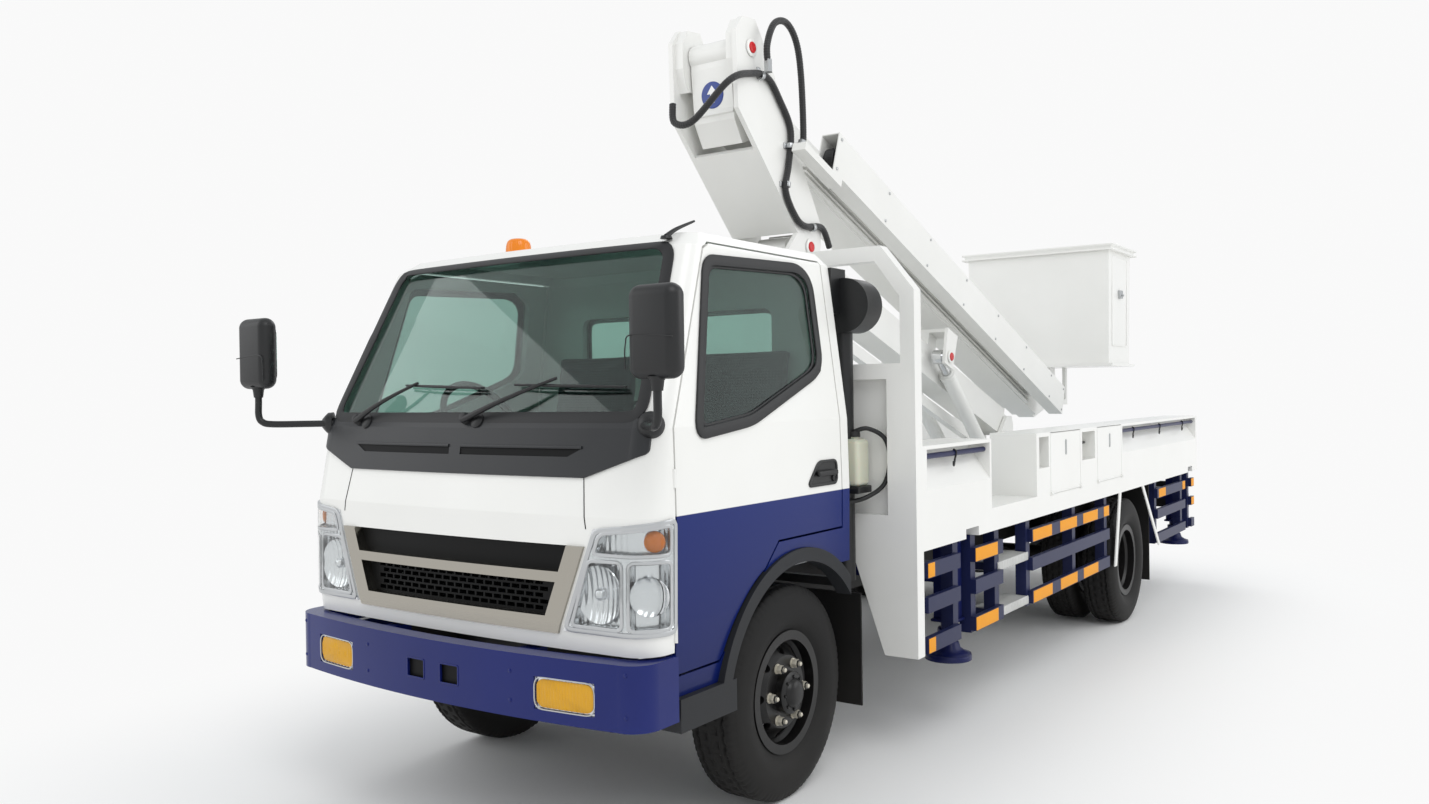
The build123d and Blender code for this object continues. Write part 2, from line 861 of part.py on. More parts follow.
mesh_width = 34
mesh_height = 14
mesh_pitch = 42
mesh_row_pitch = 21
mesh_low = 829
mesh_rows = 5
mesh_columns = 20
with BuildPart() as mesh_holes:
    with BuildSketch(front_plane(nose_x)):
        for row in range(mesh_rows):
            shift = mesh_pitch / 4 if row % 2 else -mesh_pitch / 4
            with Locations((shift, mesh_low + mesh_row_pitch * row)):
                with GridLocations(mesh_pitch, mesh_row_pitch, mesh_columns, 1):
                    Rectangle(mesh_width, mesh_height)
    extrude(amount=nose_depth * 2)
with BuildPart() as grille:
    add(cab_skin(grille_depth, cab_wall / 2, grille_prism))
    add(mesh_holes.part, mode=Mode.SUBTRACT)
write(grille.part, "grille")

grille_start = ahead(cab_sections[1][1] - lamp_depth)
with BuildPart() as frame_hole:
    bar_z = grille_high - (grille_high - grille_low) * 0.36
    hole_low = grille_low + frame_height * 1.6
    slab(front_plane(grille_start), (
        (-grille_half_low + frame_width, hole_low),
        (grille_half_low - frame_width, hole_low),
        (grille_half_high - frame_width, grille_high + overrun),
        (-grille_half_high + frame_width, grille_high + overrun),
    ), nose_depth)
    block((nose_x, -cab_span / 2, bar_z - frame_height / 2),
          (ahead(nose_depth * 3), cab_span / 2, bar_z + frame_height / 2), Mode.SUBTRACT)
with BuildPart() as grille_frame:
    add(cab_skin(-frame_proud, frame_proud + grille_depth, grille_prism))
    add(frame_hole.part, mode=Mode.SUBTRACT)
write(grille_frame.part, "grille_frame")

# Bumper: bowed steel beam with turned back ends, fog lamp pockets and two square holes
def bumper_prism(inset, low, high):
    """Bumper outline seen from above, moved inwards by an inset and given a height."""
    half = bumper_half - inset
    nose = ahead(bumper_nose - inset)
    flank = nose - bumper_bow
    back = ahead(bumper_side_back - inset)
    turn = bumper_corner
    with BuildPart() as beam:
        with BuildSketch(Plane.XY.offset(low)):
            with BuildLine():
                Line((flank - turn, half), (back, half))
                Line((back, half), (back, -half))
                Line((back, -half), (flank - turn, -half))
                ThreePointArc((flank - turn, -half),
                              (flank - turn * 0.29, -half + turn * 0.29), (flank, -half + turn))
                ThreePointArc((flank, -half + turn), (nose, 0), (flank, half - turn))
                ThreePointArc((flank, half - turn),
                              (flank - turn * 0.29, half - turn * 0.29), (flank - turn, half))
            make_face()
        extrude(amount=high - low)
    return beam.part


bumper_face = ahead(bumper_nose + overrun)
bumper_rear = ahead(bumper_side_back)
with BuildPart() as front_bumper:
    add(bumper_prism(0, bumper_low, bumper_high))
    add(bumper_prism(bumper_wall, bumper_low - overrun, bumper_high + overrun), mode=Mode.SUBTRACT)
    mirror_blocks((bumper_rear, fog_half - fog_width / 2, fog_z - fog_height / 2),
                  (bumper_face, fog_half + fog_width / 2, fog_z + fog_height / 2), Mode.SUBTRACT)
    mirror_blocks((bumper_rear, hole_half - hole_width / 2, hole_z - hole_height / 2),
                  (bumper_face, hole_half + hole_width / 2, hole_z + hole_height / 2), Mode.SUBTRACT)
    mirror_blocks((rail_start, rail_half - rail_flange, rail_low + rail_wall),
                  (ahead(bumper_nose - bumper_wall), rail_half, bumper_high - rail_wall))
write(front_bumper.part, "front_bumper")

# Lamps: the wrap-round units in the cab's corners and the fog lamps in the bumper
with BuildPart() as fog_limits:
    mirror_blocks((bumper_rear, fog_half - fog_width / 2, fog_z - fog_height / 2),
                  (bumper_face, fog_half + fog_width / 2, fog_z + fog_height / 2))
with BuildPart() as fog_lamps:
    add(bumper_prism(rail_wall, fog_z - fog_height, fog_z + fog_height))
    add(bumper_prism(rail_wall + fog_depth, fog_z - fog_height * 2, fog_z + fog_height * 2),
        mode=Mode.SUBTRACT)
    add(fog_limits.part, mode=Mode.INTERSECT)
# Recessed cells of a headlamp, seen from the front: half widths and heights.
cell_depth = 24
cell_fronts = (
    ((642, 1024), (886, 1024), (886, 1116), (668, 1090)),
    ((558, 794), (750, 794), (750, 1002), (624, 1002)),
    ((776, 794), (886, 794), (886, 1002), (776, 1002)),
)
with BuildPart() as front_lamps:
    for lamp_prism in lamp_prisms:
        add(cab_skin(-frame_proud / 2, lamp_depth, lamp_prism))
    for cell_front in cell_fronts:
        for outline in (cell_front, mirrored_points(cell_front)):
            cell_cutter = prism(front_plane(lamp_x + cell_depth), outline, nose_depth)
            add(cab_skin(-frame_proud, cell_depth + frame_proud, cell_cutter), mode=Mode.SUBTRACT)
    add(fog_lamps.part)
write(front_lamps.part, "front_lamps")

# Mirrors: a rounded head on a bent arm at each front corner
mirror_ahead = 1022
mirror_y = 992
mirror_low = 1568
mirror_high = 1848
mirror_half_width = 92
mirror_half_depth = front_reach - mirror_ahead
mirror_arm_radius = 13
mirror_foot_z = 1430
mirror_foot_ahead = 828
mirror_foot_y = 780
mirror_rounding = 16
with BuildPart() as mirrors:
    for side in (1, -1):
        with BuildSketch(Plane.XY.offset(mirror_low)) as head:
            with Locations((ahead(mirror_ahead), side * mirror_y)):
                RectangleRounded(mirror_half_depth * 2, mirror_half_width * 2, mirror_half_depth * 0.9)
        extrude(head.sketch, amount=mirror_high - mirror_low)
    for level in (mirror_low, mirror_high):
        rim = mirrors.edges().filter_by_position(Axis.Z, level - fit_gap, level + fit_gap)
        fillet(rim, radius=mirror_rounding)
    for side in (1, -1):
        foot = (ahead(mirror_foot_ahead), side * mirror_foot_y, mirror_foot_z)
        elbow = (ahead(mirror_ahead), side * mirror_y, mirror_foot_z)
        bar(foot, elbow, mirror_arm_radius)
        bar(elbow, (ahead(mirror_ahead), side * mirror_y, mirror_low + mirror_arm_radius),
            mirror_arm_radius)
        with Locations(elbow):
            Sphere(mirror_arm_radius)
    add(cab_form(-panel_bulge - fit_gap / 2), mode=Mode.SUBTRACT)
write(mirrors.part, "mirrors")

beacon_ahead = 150
beacon_y = -430
with BuildPart() as roof_beacon:
    beacon_foot = cab_crown - cab_sections[5][3]
    with BuildSketch(Plane.XY.offset(beacon_foot)) as beacon_base:
        with Locations((ahead(beacon_ahead), beacon_y)):
            Circle(beacon_radius)
    extrude(beacon_base.sketch, amount=beacon_height + cab_sections[5][3], taper=beacon_taper)
    add(cab_outer, mode=Mode.SUBTRACT)
write(roof_beacon.part, "roof_beacon")

# Dashboard with the steering wheel, and the seats
dash_low = 1130
dash_high = 1440
dash_depth = 330
driver_side = -1
steer_radius = 205
steer_tube = 14
steer_tilt = 28
steer_y = 400
steer_ahead = 400
steer_z = 1395
with BuildPart() as dashboard:
    dash_front = ahead(cab_sections[2][1])
    slab(side_plane(cab_span / 2), (
        (dash_front, dash_low),
        (dash_front, dash_high - cab_wall / 2),
        (dash_front - dash_depth * 0.8, dash_high),
        (dash_front - dash_depth, dash_high - cab_wall * 2),
        (dash_front - dash_depth * 0.72, dash_low),
    ), cab_span)
    add(cab_inner, mode=Mode.INTERSECT)
    mirror_blocks((dash_front - dash_depth * 2, cab_sections[3][2] - cab_wall - door_gap * 3,
                   dash_low - overrun),
                  (ahead(door_belt_x + door_gap), cab_span, dash_high + overrun), Mode.SUBTRACT)
    tilt = Vector(-cos(radians(steer_tilt)), 0, sin(radians(steer_tilt)))
    rim_centre = Vector(ahead(steer_ahead), driver_side * steer_y, steer_z)
    with Locations(Plane(origin=rim_centre, x_dir=(0, 1, 0), z_dir=tilt)):
        Torus(steer_radius, steer_tube)
        Box(steer_radius * 2, steer_tube * 2.4, steer_tube)
        Cylinder(steer_tube * 3, steer_tube * 2)
    bar(tuple(rim_centre), tuple(rim_centre - tilt * dash_depth), steer_tube * 2)
write(dashboard.part, "dashboard")

seat_width = 470
bench_width = 640
bench_y = 310
seat_high = 1190
seat_front_ahead = 120
seat_depth = 420
back_high = 1720
back_thickness = 100
with BuildPart() as seats:
    for centre_y, width in ((driver_side * steer_y, seat_width), (-driver_side * bench_y, bench_width)):
        seat_start = ahead(seat_front_ahead)
        slab(side_plane(centre_y + width / 2), (
            (seat_start, cab_floor_top),
            (seat_start, seat_high),
            (seat_start - seat_depth + back_thickness, seat_high - back_thickness / 4),
            (seat_start - seat_depth, back_high),
            (seat_start - seat_depth - back_thickness * 0.4, back_high),
            (seat_start - seat_depth, cab_floor_top),
        ), width)
write(seats.part, "seats")

# Wheel arch flares with the steps ahead of them
step_low = 452
step_high = cab_bottom - fit_gap
step_inner = 720
step_start_ahead = 445
with BuildPart() as wheel_arches:
    flare_in = cab_sections[1][2] - flare_width
    flare_out = cab_sections[1][2] + flare_reach
    for side in (1, -1):
        with BuildSketch(side_plane(flare_out if side > 0 else -flare_in)) as flare:
            with Locations((front_axle_x, wheel_z)):
                Circle(arch_radius - fit_gap)
                Circle(arch_radius - flare_width, mode=Mode.SUBTRACT)
            with Locations((front_axle_x - arch_radius - arch_radius * 0.7, wheel_z)):
                Rectangle(arch_radius * 2, arch_radius * 3, mode=Mode.SUBTRACT)
            with Locations((front_axle_x, step_high - arch_radius)):
                Rectangle(arch_radius * 3, arch_radius * 2, mode=Mode.SUBTRACT)
        extrude(flare.sketch, amount=flare_out - flare_in)
    mirror_blocks((ahead(step_start_ahead), step_inner, step_low),
                  (bumper_rear - rail_wall, flare_out, step_high))
write(wheel_arches.part, "wheel_arches")

# Mud flaps behind the front wheels and in front of and behind the rear wheels
flap_thickness = 10
flap_low = 190
flap_high = 700
front_flap_back = 486
rear_flap_back = 545
with BuildPart() as mud_flaps:
    front_in = rail_half + rail_wall
    mirror_blocks((behind(front_flap_back + flap_thickness), front_in, flap_low + overrun),
                  (behind(front_flap_back), cab_sections[1][2], flap_high))
    mirror_blocks((behind(front_flap_back + flap_thickness), rail_half, flap_high - overrun),
                  (behind(front_flap_back), front_in, flap_high))
    mirror_blocks((rear_axle_x - rear_flap_back - flap_thickness, rail_half, flap_low),
                  (rear_axle_x - rear_flap_back, body_half - overrun / 2, body_bottom))
write(mud_flaps.part, "mud_flaps")

# Air intake behind the left corner of the cab: filter drum, duct, column and hose
intake_back = 500
intake_y = 800
drum_z = 1880
drum_radius = 112
drum_width = 190
duct_half = 34
duct_top = 2030
column_radius = 42
with BuildPart() as air_intake:
    intake_x = behind(intake_back)
    bar((intake_x + duct_half, intake_y, drum_z), (intake_x - drum_width / 2, intake_y, drum_z),
        drum_radius)
    column_x = intake_x - duct_half
    column_y = intake_y - column_radius
    block((behind(cab_back), intake_y - duct_half * 2, drum_z - duct_half),
          (intake_x - duct_half / 2, intake_y - duct_half / 2, duct_top))
    bar((column_x, column_y, rail_top), (column_x, column_y, drum_z - column_radius), column_radius)
    block((column_x - duct_half / 2, rail_half, rail_top - rail_wall * 4),
          (column_x + duct_half / 2, column_y, rail_top + rail_wall))
write(air_intake.part, "air_intake")

# Deck: floor plate on two long members and cross bearers, with the oil tank on it
body_front = behind(body_front_back)
body_end = behind(body_back)
deck_low = deck_top - deck_plate
deck_end = body_end + deck_inset
deck_inner = body_half - side_depth
bearer_count = 9
bearer_width = 60
bearer_height = 80
tank_box_front = 1540
tank_box_length = 420
tank_box_half = 420
tank_box_high = 1385
lid_height = 32
lid_reach = 16
with BuildPart() as deck:
    block((behind(tank_box_front + tank_box_length), -tank_box_half, deck_top + fit_gap),
          (behind(tank_box_front), tank_box_half, tank_box_high - lid_height))
    block((behind(tank_box_front + tank_box_length + lid_reach), -tank_box_half - lid_reach,
           tank_box_high - lid_height),
          (behind(tank_box_front - lid_reach), tank_box_half + lid_reach, tank_box_high))
    block((deck_end, -deck_inner, deck_low), (body_front, deck_inner, deck_top))
    for side in (1, -1):
        block((deck_end, side * (rail_half - sub_rail_width), rail_top),
              (body_front, side * rail_half, deck_low))
    bearer_step = (body_front - deck_end - bearer_width) / (bearer_count - 1)
    for number in range(bearer_count):
        bearer_x = deck_end + bearer_step * number
        block((bearer_x, -deck_inner, deck_low - bearer_height),
              (bearer_x + bearer_width, deck_inner, deck_low))
write(deck.part, "deck")

# Side bodies. Each bay: name, where it starts and ends as shares of the body's length.
body_run = body_front - body_end
bay_shares = (("front_rail", 0.008, 0.143), ("rear_rail", 0.581, 0.992))
notch_shares = (0.147, 0.268)
recess_shares = (("front", 0.276, 0.305), ("rear", 0.418, 0.466))
locker_shares = (("front", 0.310, 0.411), ("rear", 0.475, 0.576))
jack_slot = 150
strip_plate = 7

# Slanted mudguard strips beside the rear wheels: distances behind the front axle of their
# top and their foot.
strip_places = ((3620, 3500), (4180, 4620))


def along(share):
    """X of a share of the body's length, counted from its front."""
    return body_front - body_run * share


with BuildPart() as body_sides:
    for side in (1, -1):
        block((body_end, side * deck_inner, body_bottom), (body_front, side * body_half, body_top))
    for side in (1, -1):
        near = side * (body_half + overrun)
        back = side * (body_half - bay_depth)
        skin = side * body_half
        for name, start, end in bay_shares:
            slab(front_plane(along(end)), (
                (near, bay_bottom),
                (skin, bay_bottom),
                (back, body_top - bay_lip - side_wall),
                (back, body_top - bay_lip),
                (near, body_top - bay_lip),
            ), along(start) - along(end), Mode.SUBTRACT)
            rod_y = side * (body_half - bay_depth / 3)
            bar((along(end), rod_y, body_top - bay_lip * 3),
                (along(start), rod_y, body_top - bay_lip * 3), rod_radius)
        block((along(notch_shares[1]), side * (deck_inner - overrun), notch_floor),
              (along(notch_shares[0]), near, body_top + overrun), Mode.SUBTRACT)
        for name, start, end in recess_shares:
            block((along(end), back, bay_bottom), (along(start), near, body_top - side_wall), Mode.SUBTRACT)
        for name, start, end in locker_shares:
            block((along(end), near, locker_low), (along(start), side * (body_half - door_thickness),
                                                   locker_inner_high + side_wall),
                  Mode.SUBTRACT)
            block((along(end) + side_wall, near, locker_inner_low),
                  (along(start) - side_wall, side * (deck_inner + side_wall), locker_inner_high),
                  Mode.SUBTRACT)
        for back_distance in (jack_x_back_front, jack_x_back_rear):
            jack_x = behind(back_distance)
            block((jack_x - jack_slot / 2, side * (jack_y - jack_tube / 2 - door_clear),
                   body_bottom - overrun),
                  (jack_x + jack_slot / 2, near, jack_tube_high + door_clear), Mode.SUBTRACT)
        strip = bay_lip * 3
        strip_low = body_half - strip_plate
        for top_back, low_back in strip_places:
            slab(side_plane(body_half if side > 0 else -strip_low), (
                (behind(top_back), body_bottom),
                (behind(top_back + strip), body_bottom),
                (behind(low_back + strip), guard_post_low),
                (behind(low_back), guard_post_low),
            ), strip_plate)
write(body_sides.part, "body_sides")

for side_name, side in (("left", 1), ("right", -1)):
    for name, start, end in locker_shares:
        with BuildPart() as locker_door:
            block((along(end) + door_clear, side * (body_half - door_thickness + fit_gap),
                   locker_low + door_clear),
                  (along(start) - door_clear, side * body_half, locker_inner_high + side_wall - door_clear))
        write(locker_door.part, f"locker_door_{name}_{side_name}")

# Headboard with the rack over it and the wings down to the ground side
with BuildPart() as headboard_rack:
    board_x = body_front
    post_front = board_x + headboard_thickness
    board_recess = headboard_thickness * 0.6
    block((board_x, -body_half, body_bottom), (post_front, body_half, headboard_top))
    for side in (1, -1):
        block((board_x + headboard_thickness - board_recess, side * post_size, body_bottom + overrun * 3),
              (post_front + overrun, side * (body_half - post_size * 2), headboard_top - post_size),
              Mode.SUBTRACT)
        inner = body_half - post_size
        slab(front_plane(board_x), (
            (side * body_half, headboard_top),
            (side * body_half, rack_shoulder),
            (side * (body_half - rack_corner), rack_top),
            (0, rack_top),
            (0, rack_top - post_size),
            (side * (body_half - rack_corner - post_size * 0.4), rack_top - post_size),
            (side * inner, rack_shoulder - post_size * 0.4),
            (side * inner, headboard_top),
        ), headboard_thickness)
        slab(front_plane(board_x), (
            (side * body_half, body_bottom),
            (side * body_half, headboard_bottom),
            (side * (body_half - rack_corner), headboard_bottom),
            (side * (body_half - rack_corner * 2), body_bottom),
        ), headboard_thickness)
write(headboard_rack.part, "headboard_rack")

# Side guards. Columns: front end and rear end as distances behind the front axle.
guard_spans = ((740, 1085), (1262, 1610), (2030, 3440), (4660, 5530), (5740, 5840))
guard_posts = (1085, 1290, 1590, 2030, 2800, 3440, 4700, 5500, 5740)
step_front_back = 1590
step_rear_back = 2030
step_levels = (425, 650)
step_thickness = 36
with BuildPart() as side_guards:
    for side in (1, -1):
        face = side * guard_face
        behind_face = side * (guard_face - guard_rail_thickness)
        for start, end in guard_spans:
            for level in guard_levels:
                block((behind(end), behind_face, level - guard_rail_height / 2),
                      (behind(start), face, level + guard_rail_height / 2))
        post_inner = side * (guard_face - guard_post - guard_rail_thickness)
        for place in guard_posts:
            block((behind(place + guard_post / 2), post_inner, guard_post_low),
                  (behind(place - guard_post / 2), behind_face, body_bottom))
        for level in step_levels:
            block((behind(step_rear_back), side * (guard_face - step_tread_depth), level),
                  (behind(step_front_back), behind_face, level + step_thickness))
write(side_guards.part, "side_guards")

# Jacks: square housings on outriggers, with round legs that slide down
with BuildPart() as jack_housings:
    for back_distance in (jack_x_back_front, jack_x_back_rear):
        jack_x = behind(back_distance)
        half = jack_tube / 2
        for side in (1, -1):
            block((jack_x - half, side * (jack_y - half), jack_tube_low),
                  (jack_x + half, side * (jack_y + half), jack_tube_high))
            block((jack_x - half, side * (rail_half + fit_gap), outrigger_top - outrigger_height * 2.4),
                  (jack_x + half, side * (jack_y - half), outrigger_top - outrigger_height * 1.4))
            bar((jack_x, side * jack_y, jack_tube_low - overrun),
                (jack_x, side * jack_y, jack_tube_high - rail_wall),
                jack_leg_radius + fit_gap, Mode.SUBTRACT)
write(jack_housings.part, "jack_housings")

for side_name, side in (("left", 1), ("right", -1)):
    for end_name, back_distance in (("front", jack_x_back_front), ("rear", jack_x_back_rear)):
        with BuildPart() as jack_leg:
            jack_x = behind(back_distance)
            pad_top = jack_pad_low + jack_pad_height
            bar((jack_x, side * jack_y, pad_top), (jack_x, side * jack_y, jack_tube_high - rail_wall * 2),
                jack_leg_radius)
            with BuildSketch(Plane.XY.offset(jack_pad_low)) as pad:
                with Locations((jack_x, side * jack_y)):
                    Circle(jack_pad_radius)
            extrude(pad.sketch, amount=jack_pad_height)
        write(jack_leg.part, f"jack_leg_{end_name}_{side_name}")

# Rear end: cross bar with the lamp boxes on it
rear_bar_low = 560
rear_bar_height = 110
rear_bar_depth = 60
lamp_box_width = 300
lamp_box_height = 96
with BuildPart() as rear_bumper:
    block((body_end, -body_half + post_size, rear_bar_low),
          (body_end + rear_bar_depth, body_half - post_size, rear_bar_low + rear_bar_height))
    mirror_blocks((body_end + rear_bar_depth, rail_half - rail_flange, rail_low + rail_wall),
                  (rail_end, rail_half, rail_top - rail_wall))
    mirror_blocks((body_end + rail_wall, body_half - post_size - lamp_box_width,
                   rear_bar_low + rear_bar_height),
                  (body_end + rear_bar_depth, body_half - post_size,
                   rear_bar_low + rear_bar_height + lamp_box_height))
write(rear_bumper.part, "rear_bumper")


# Lifting gear: all pins lie across the vehicle, on its middle plane
root = (behind(root_back), root_height)
tip = (behind(tip_back), tip_height)
knuckle_pin = (behind(knuckle_back), knuckle_height)
tie_root = (root[0] + tie_offset_x, root[1] + tie_offset_z)
tie_tip = (tip[0] + tie_offset_x, tip[1] + tie_offset_z)
ear_pin = (behind(ear_back), ear_height)
cylinder_pin = (behind(cylinder_back), cylinder_height)
arm_run = Vector(tip[0] - root[0], tip[1] - root[1])
arm_along = arm_run.normalized()
arm_up = Vector(-arm_along.Y, arm_along.X)
boom_along = Vector(-cos(radians(boom_slope)), -sin(radians(boom_slope)))
boom_up = Vector(-sin(radians(boom_slope)), cos(radians(boom_slope)))


def on_line(start, direction, up, distance, height):
    """Place on a slanted beam: a distance along it and a height off its middle line."""
    return (start[0] + direction.X * distance + up.X * height,
            start[1] + direction.Y * distance + up.Y * height)


def beam(start, direction, up, first, last, half_height, y_high, y_low, mode=Mode.ADD):
    """Straight beam along a slanted line, between two cross positions."""
    slab(side_plane(y_high), (
        on_line(start, direction, up, first, -half_height),
        on_line(start, direction, up, last, -half_height),
        on_line(start, direction, up, last, half_height),
        on_line(start, direction, up, first, half_height),
    ), y_high - y_low, mode)


def boss(place, radius, half_width, mode=Mode.ADD):
    """Round boss or pin hole across the middle plane."""
    disc(place[0], half_width, place[1], radius, half_width * 2, mode)


arm_half = arm_width / 2
cheek_inner = arm_half + cheek_gap
cheek_outer = cheek_inner + cheek_thickness
turret_low = deck_top + turret_plate
turret_x = behind(turret_back)
with BuildPart() as turret:
    with BuildSketch(Plane.XY.offset(deck_top + fit_gap)) as ring:
        with Locations((turret_x, 0)):
            Circle(turret_radius)
    extrude(ring.sketch, amount=turret_plate - fit_gap)
    for side in (1, -1):
        y_high = cheek_outer if side > 0 else -cheek_inner
        slab(side_plane(y_high), (
            (root[0] - boss_radius, turret_low),
            (root[0] - boss_radius, root[1]),
            (root[0] - boss_radius / 2, root[1] + boss_radius),
            (root[0] + boss_radius, root[1] + boss_radius),
            (tie_root[0] + boss_radius, tie_root[1] + boss_radius),
            (cylinder_pin[0] - boss_radius * 1.4, turret_low),
        ), cheek_thickness)
    boss(root, pin_radius, cheek_outer)
    boss(tie_root, pin_radius, cheek_outer)
    lug_half = cylinder_y - cylinder_radius - cheek_gap
    slab(side_plane(lug_half), (
        (cylinder_pin[0] - boss_radius, turret_low - fit_gap),
        (cylinder_pin[0] + boss_radius, turret_low - fit_gap),
        (cylinder_pin[0] + boss_radius * 0.8, cylinder_pin[1] + boss_radius * 0.6),
        (cylinder_pin[0] - boss_radius * 0.8, cylinder_pin[1] + boss_radius * 0.6),
    ), lug_half * 2)
    boss(cylinder_pin, pin_radius, cylinder_y + cylinder_eye_width / 2 + cheek_gap)
write(turret.part, "turret")

with BuildPart() as lower_arm:
    reach = arm_run.length
    beam(root, arm_along, arm_up, boss_radius, reach - boss_radius * 0.6, arm_height / 2, arm_half,
         -arm_half)
    beam(root, arm_along, arm_up, boss_radius * 2, reach - boss_radius * 2, arm_height / 2 - arm_wall,
         arm_half - arm_wall, -arm_half + arm_wall, Mode.SUBTRACT)
    boss(root, boss_radius, arm_half)
    boss(tip, boss_radius, arm_half)
    beam(root, arm_along, arm_up, 0, boss_radius * 1.2, boss_radius, arm_half, -arm_half)
    beam(root, arm_along, arm_up, reach - boss_radius, reach, boss_radius, arm_half, -arm_half)
    boss(root, pin_radius + fit_gap, arm_half + cheek_gap, Mode.SUBTRACT)
    boss(tip, pin_radius + fit_gap, arm_half + cheek_gap, Mode.SUBTRACT)
    ear_distance = (Vector(*ear_pin) - Vector(*root)).dot(arm_along)
    ear_low = (Vector(*ear_pin) - Vector(*root)).dot(arm_up)
    for side in (1, -1):
        y_high = ear_y + ear_thickness if side > 0 else -ear_y
        slab(side_plane(y_high), (
            on_line(root, arm_along, arm_up, ear_distance - boss_radius, ear_low - boss_radius),
            on_line(root, arm_along, arm_up, ear_distance + boss_radius, ear_low - boss_radius),
            on_line(root, arm_along, arm_up, ear_distance + boss_radius * 1.3, arm_height),
            on_line(root, arm_along, arm_up, ear_distance - boss_radius * 1.3, arm_height),
        ), ear_thickness)
    beam(root, arm_along, arm_up, ear_distance - boss_radius, ear_distance + boss_radius,
         arm_height, ear_y, -ear_y)
    beam(root, arm_along, arm_up, ear_distance - boss_radius * 2, ear_distance + boss_radius * 2,
         arm_height - ear_thickness, ear_y, arm_half, Mode.SUBTRACT)
    beam(root, arm_along, arm_up, ear_distance - boss_radius * 2, ear_distance + boss_radius * 2,
         arm_height - ear_thickness, -arm_half, -ear_y, Mode.SUBTRACT)
    lower_trim = (arm_height * 2 + arm_height / 2) / 2
    slab(side_plane(ear_y + overrun), (
        on_line(root, arm_along, arm_up, ear_distance - boss_radius * 2, -arm_height / 2),
        on_line(root, arm_along, arm_up, ear_distance + boss_radius * 2, -arm_height / 2),
        on_line(root, arm_along, arm_up, ear_distance + boss_radius * 2, -lower_trim),
        on_line(root, arm_along, arm_up, ear_distance - boss_radius * 2, -lower_trim),
    ), ear_y * 2 + overrun * 2, Mode.SUBTRACT)
    for side in (1, -1):
        cap_y = ear_y + ear_thickness + cheek_gap if side > 0 else -ear_y - ear_thickness
        disc(ear_pin[0], cap_y, ear_pin[1], pin_radius, cheek_gap)
write(lower_arm.part, "lower_arm")

with BuildPart() as tie_rod:
    tie_run = Vector(tie_tip[0] - tie_root[0], tie_tip[1] - tie_root[1])
    beam(tie_root, arm_along, arm_up, 0, tie_run.length, tie_height / 2, tie_width / 2, -tie_width / 2)
    for place in (tie_root, tie_tip):
        boss(place, boss_radius * 0.8, tie_width / 2)
        boss(place, pin_radius + fit_gap, tie_width, Mode.SUBTRACT)
write(tie_rod.part, "tie_rod")

# Riser: two side plates with a front plate and a lower back plate between them.
# Outline points: distance ahead of the knuckle pin and height above it, as shares of the
# riser's own reach from the tip pin to the knuckle pin.
riser_reach_x = knuckle_pin[0] - tip[0]
riser_reach_z = knuckle_pin[1] - tip[1]
riser_shares = (
    (0.235, 0.070),
    (0.130, 0.150),
    (-0.080, 0.165),
    (-0.270, 0.020),
    (-1.230, -0.860),
    (-1.200, -1.130),
    (-0.740, -1.290),
    (-0.450, -1.190),
    (-0.480, -1.110),
    (-0.780, -0.930),
    (0.210, -0.340),
)
riser_outline = tuple((knuckle_pin[0] + riser_reach_x * x, knuckle_pin[1] + riser_reach_z * z)
                      for x, z in riser_shares)
riser_inner = riser_half - riser_plate
riser_front_share = 0.69
riser_back_shares = (0.70, 0.95)

# Thick pads of the ears: distance ahead of the knuckle pin and height above it.
ear_pad_points = (
    (100, 60),
    (62, 125),
    (-40, 138),
    (-112, 30),
    (-92, -130),
    (66, -168),
    (100, -60),
)
with BuildPart() as riser_head:
    for y_high in (riser_half, -riser_inner):
        slab(side_plane(y_high), riser_outline, riser_plate)
    front_top = riser_outline[10]
    front_low = riser_outline[9]
    front_run = (Vector(*front_top) - Vector(*front_low))
    front_along = front_run.normalized()
    front_up = Vector(-front_along.Y, front_along.X)
    slab(side_plane(riser_inner), (
        front_low,
        on_line(front_low, front_along, front_up, front_run.length * riser_front_share, 0),
        on_line(front_low, front_along, front_up, front_run.length * riser_front_share, riser_plate),
        on_line(front_low, front_along, front_up, 0, riser_plate),
    ), riser_inner * 2)
    back_top = riser_outline[3]
    back_run = Vector(*riser_outline[4]) - Vector(*back_top)
    back_along = back_run.normalized()
    back_up = Vector(-back_along.Y, back_along.X)
    slab(side_plane(riser_inner), (
        on_line(back_top, back_along, back_up, back_run.length * riser_back_shares[0], 0),
        on_line(back_top, back_along, back_up, back_run.length * riser_back_shares[1], 0),
        on_line(back_top, back_along, back_up, back_run.length * riser_back_shares[1], riser_plate),
        on_line(back_top, back_along, back_up, back_run.length * riser_back_shares[0], riser_plate),
    ), riser_inner * 2)
    pad_outline = tuple((knuckle_pin[0] + x, knuckle_pin[1] + z) for x, z in ear_pad_points)
    for y_high in (riser_inner, -riser_inner + ear_pad):
        slab(side_plane(y_high), pad_outline, ear_pad)
    boss(knuckle_pin, pin_radius, riser_half + cheek_gap)
    boss(tip, pin_radius, riser_half + cheek_gap)
    boss(tie_tip, pin_radius, riser_half + cheek_gap)
write(riser_head.part, "riser_head")

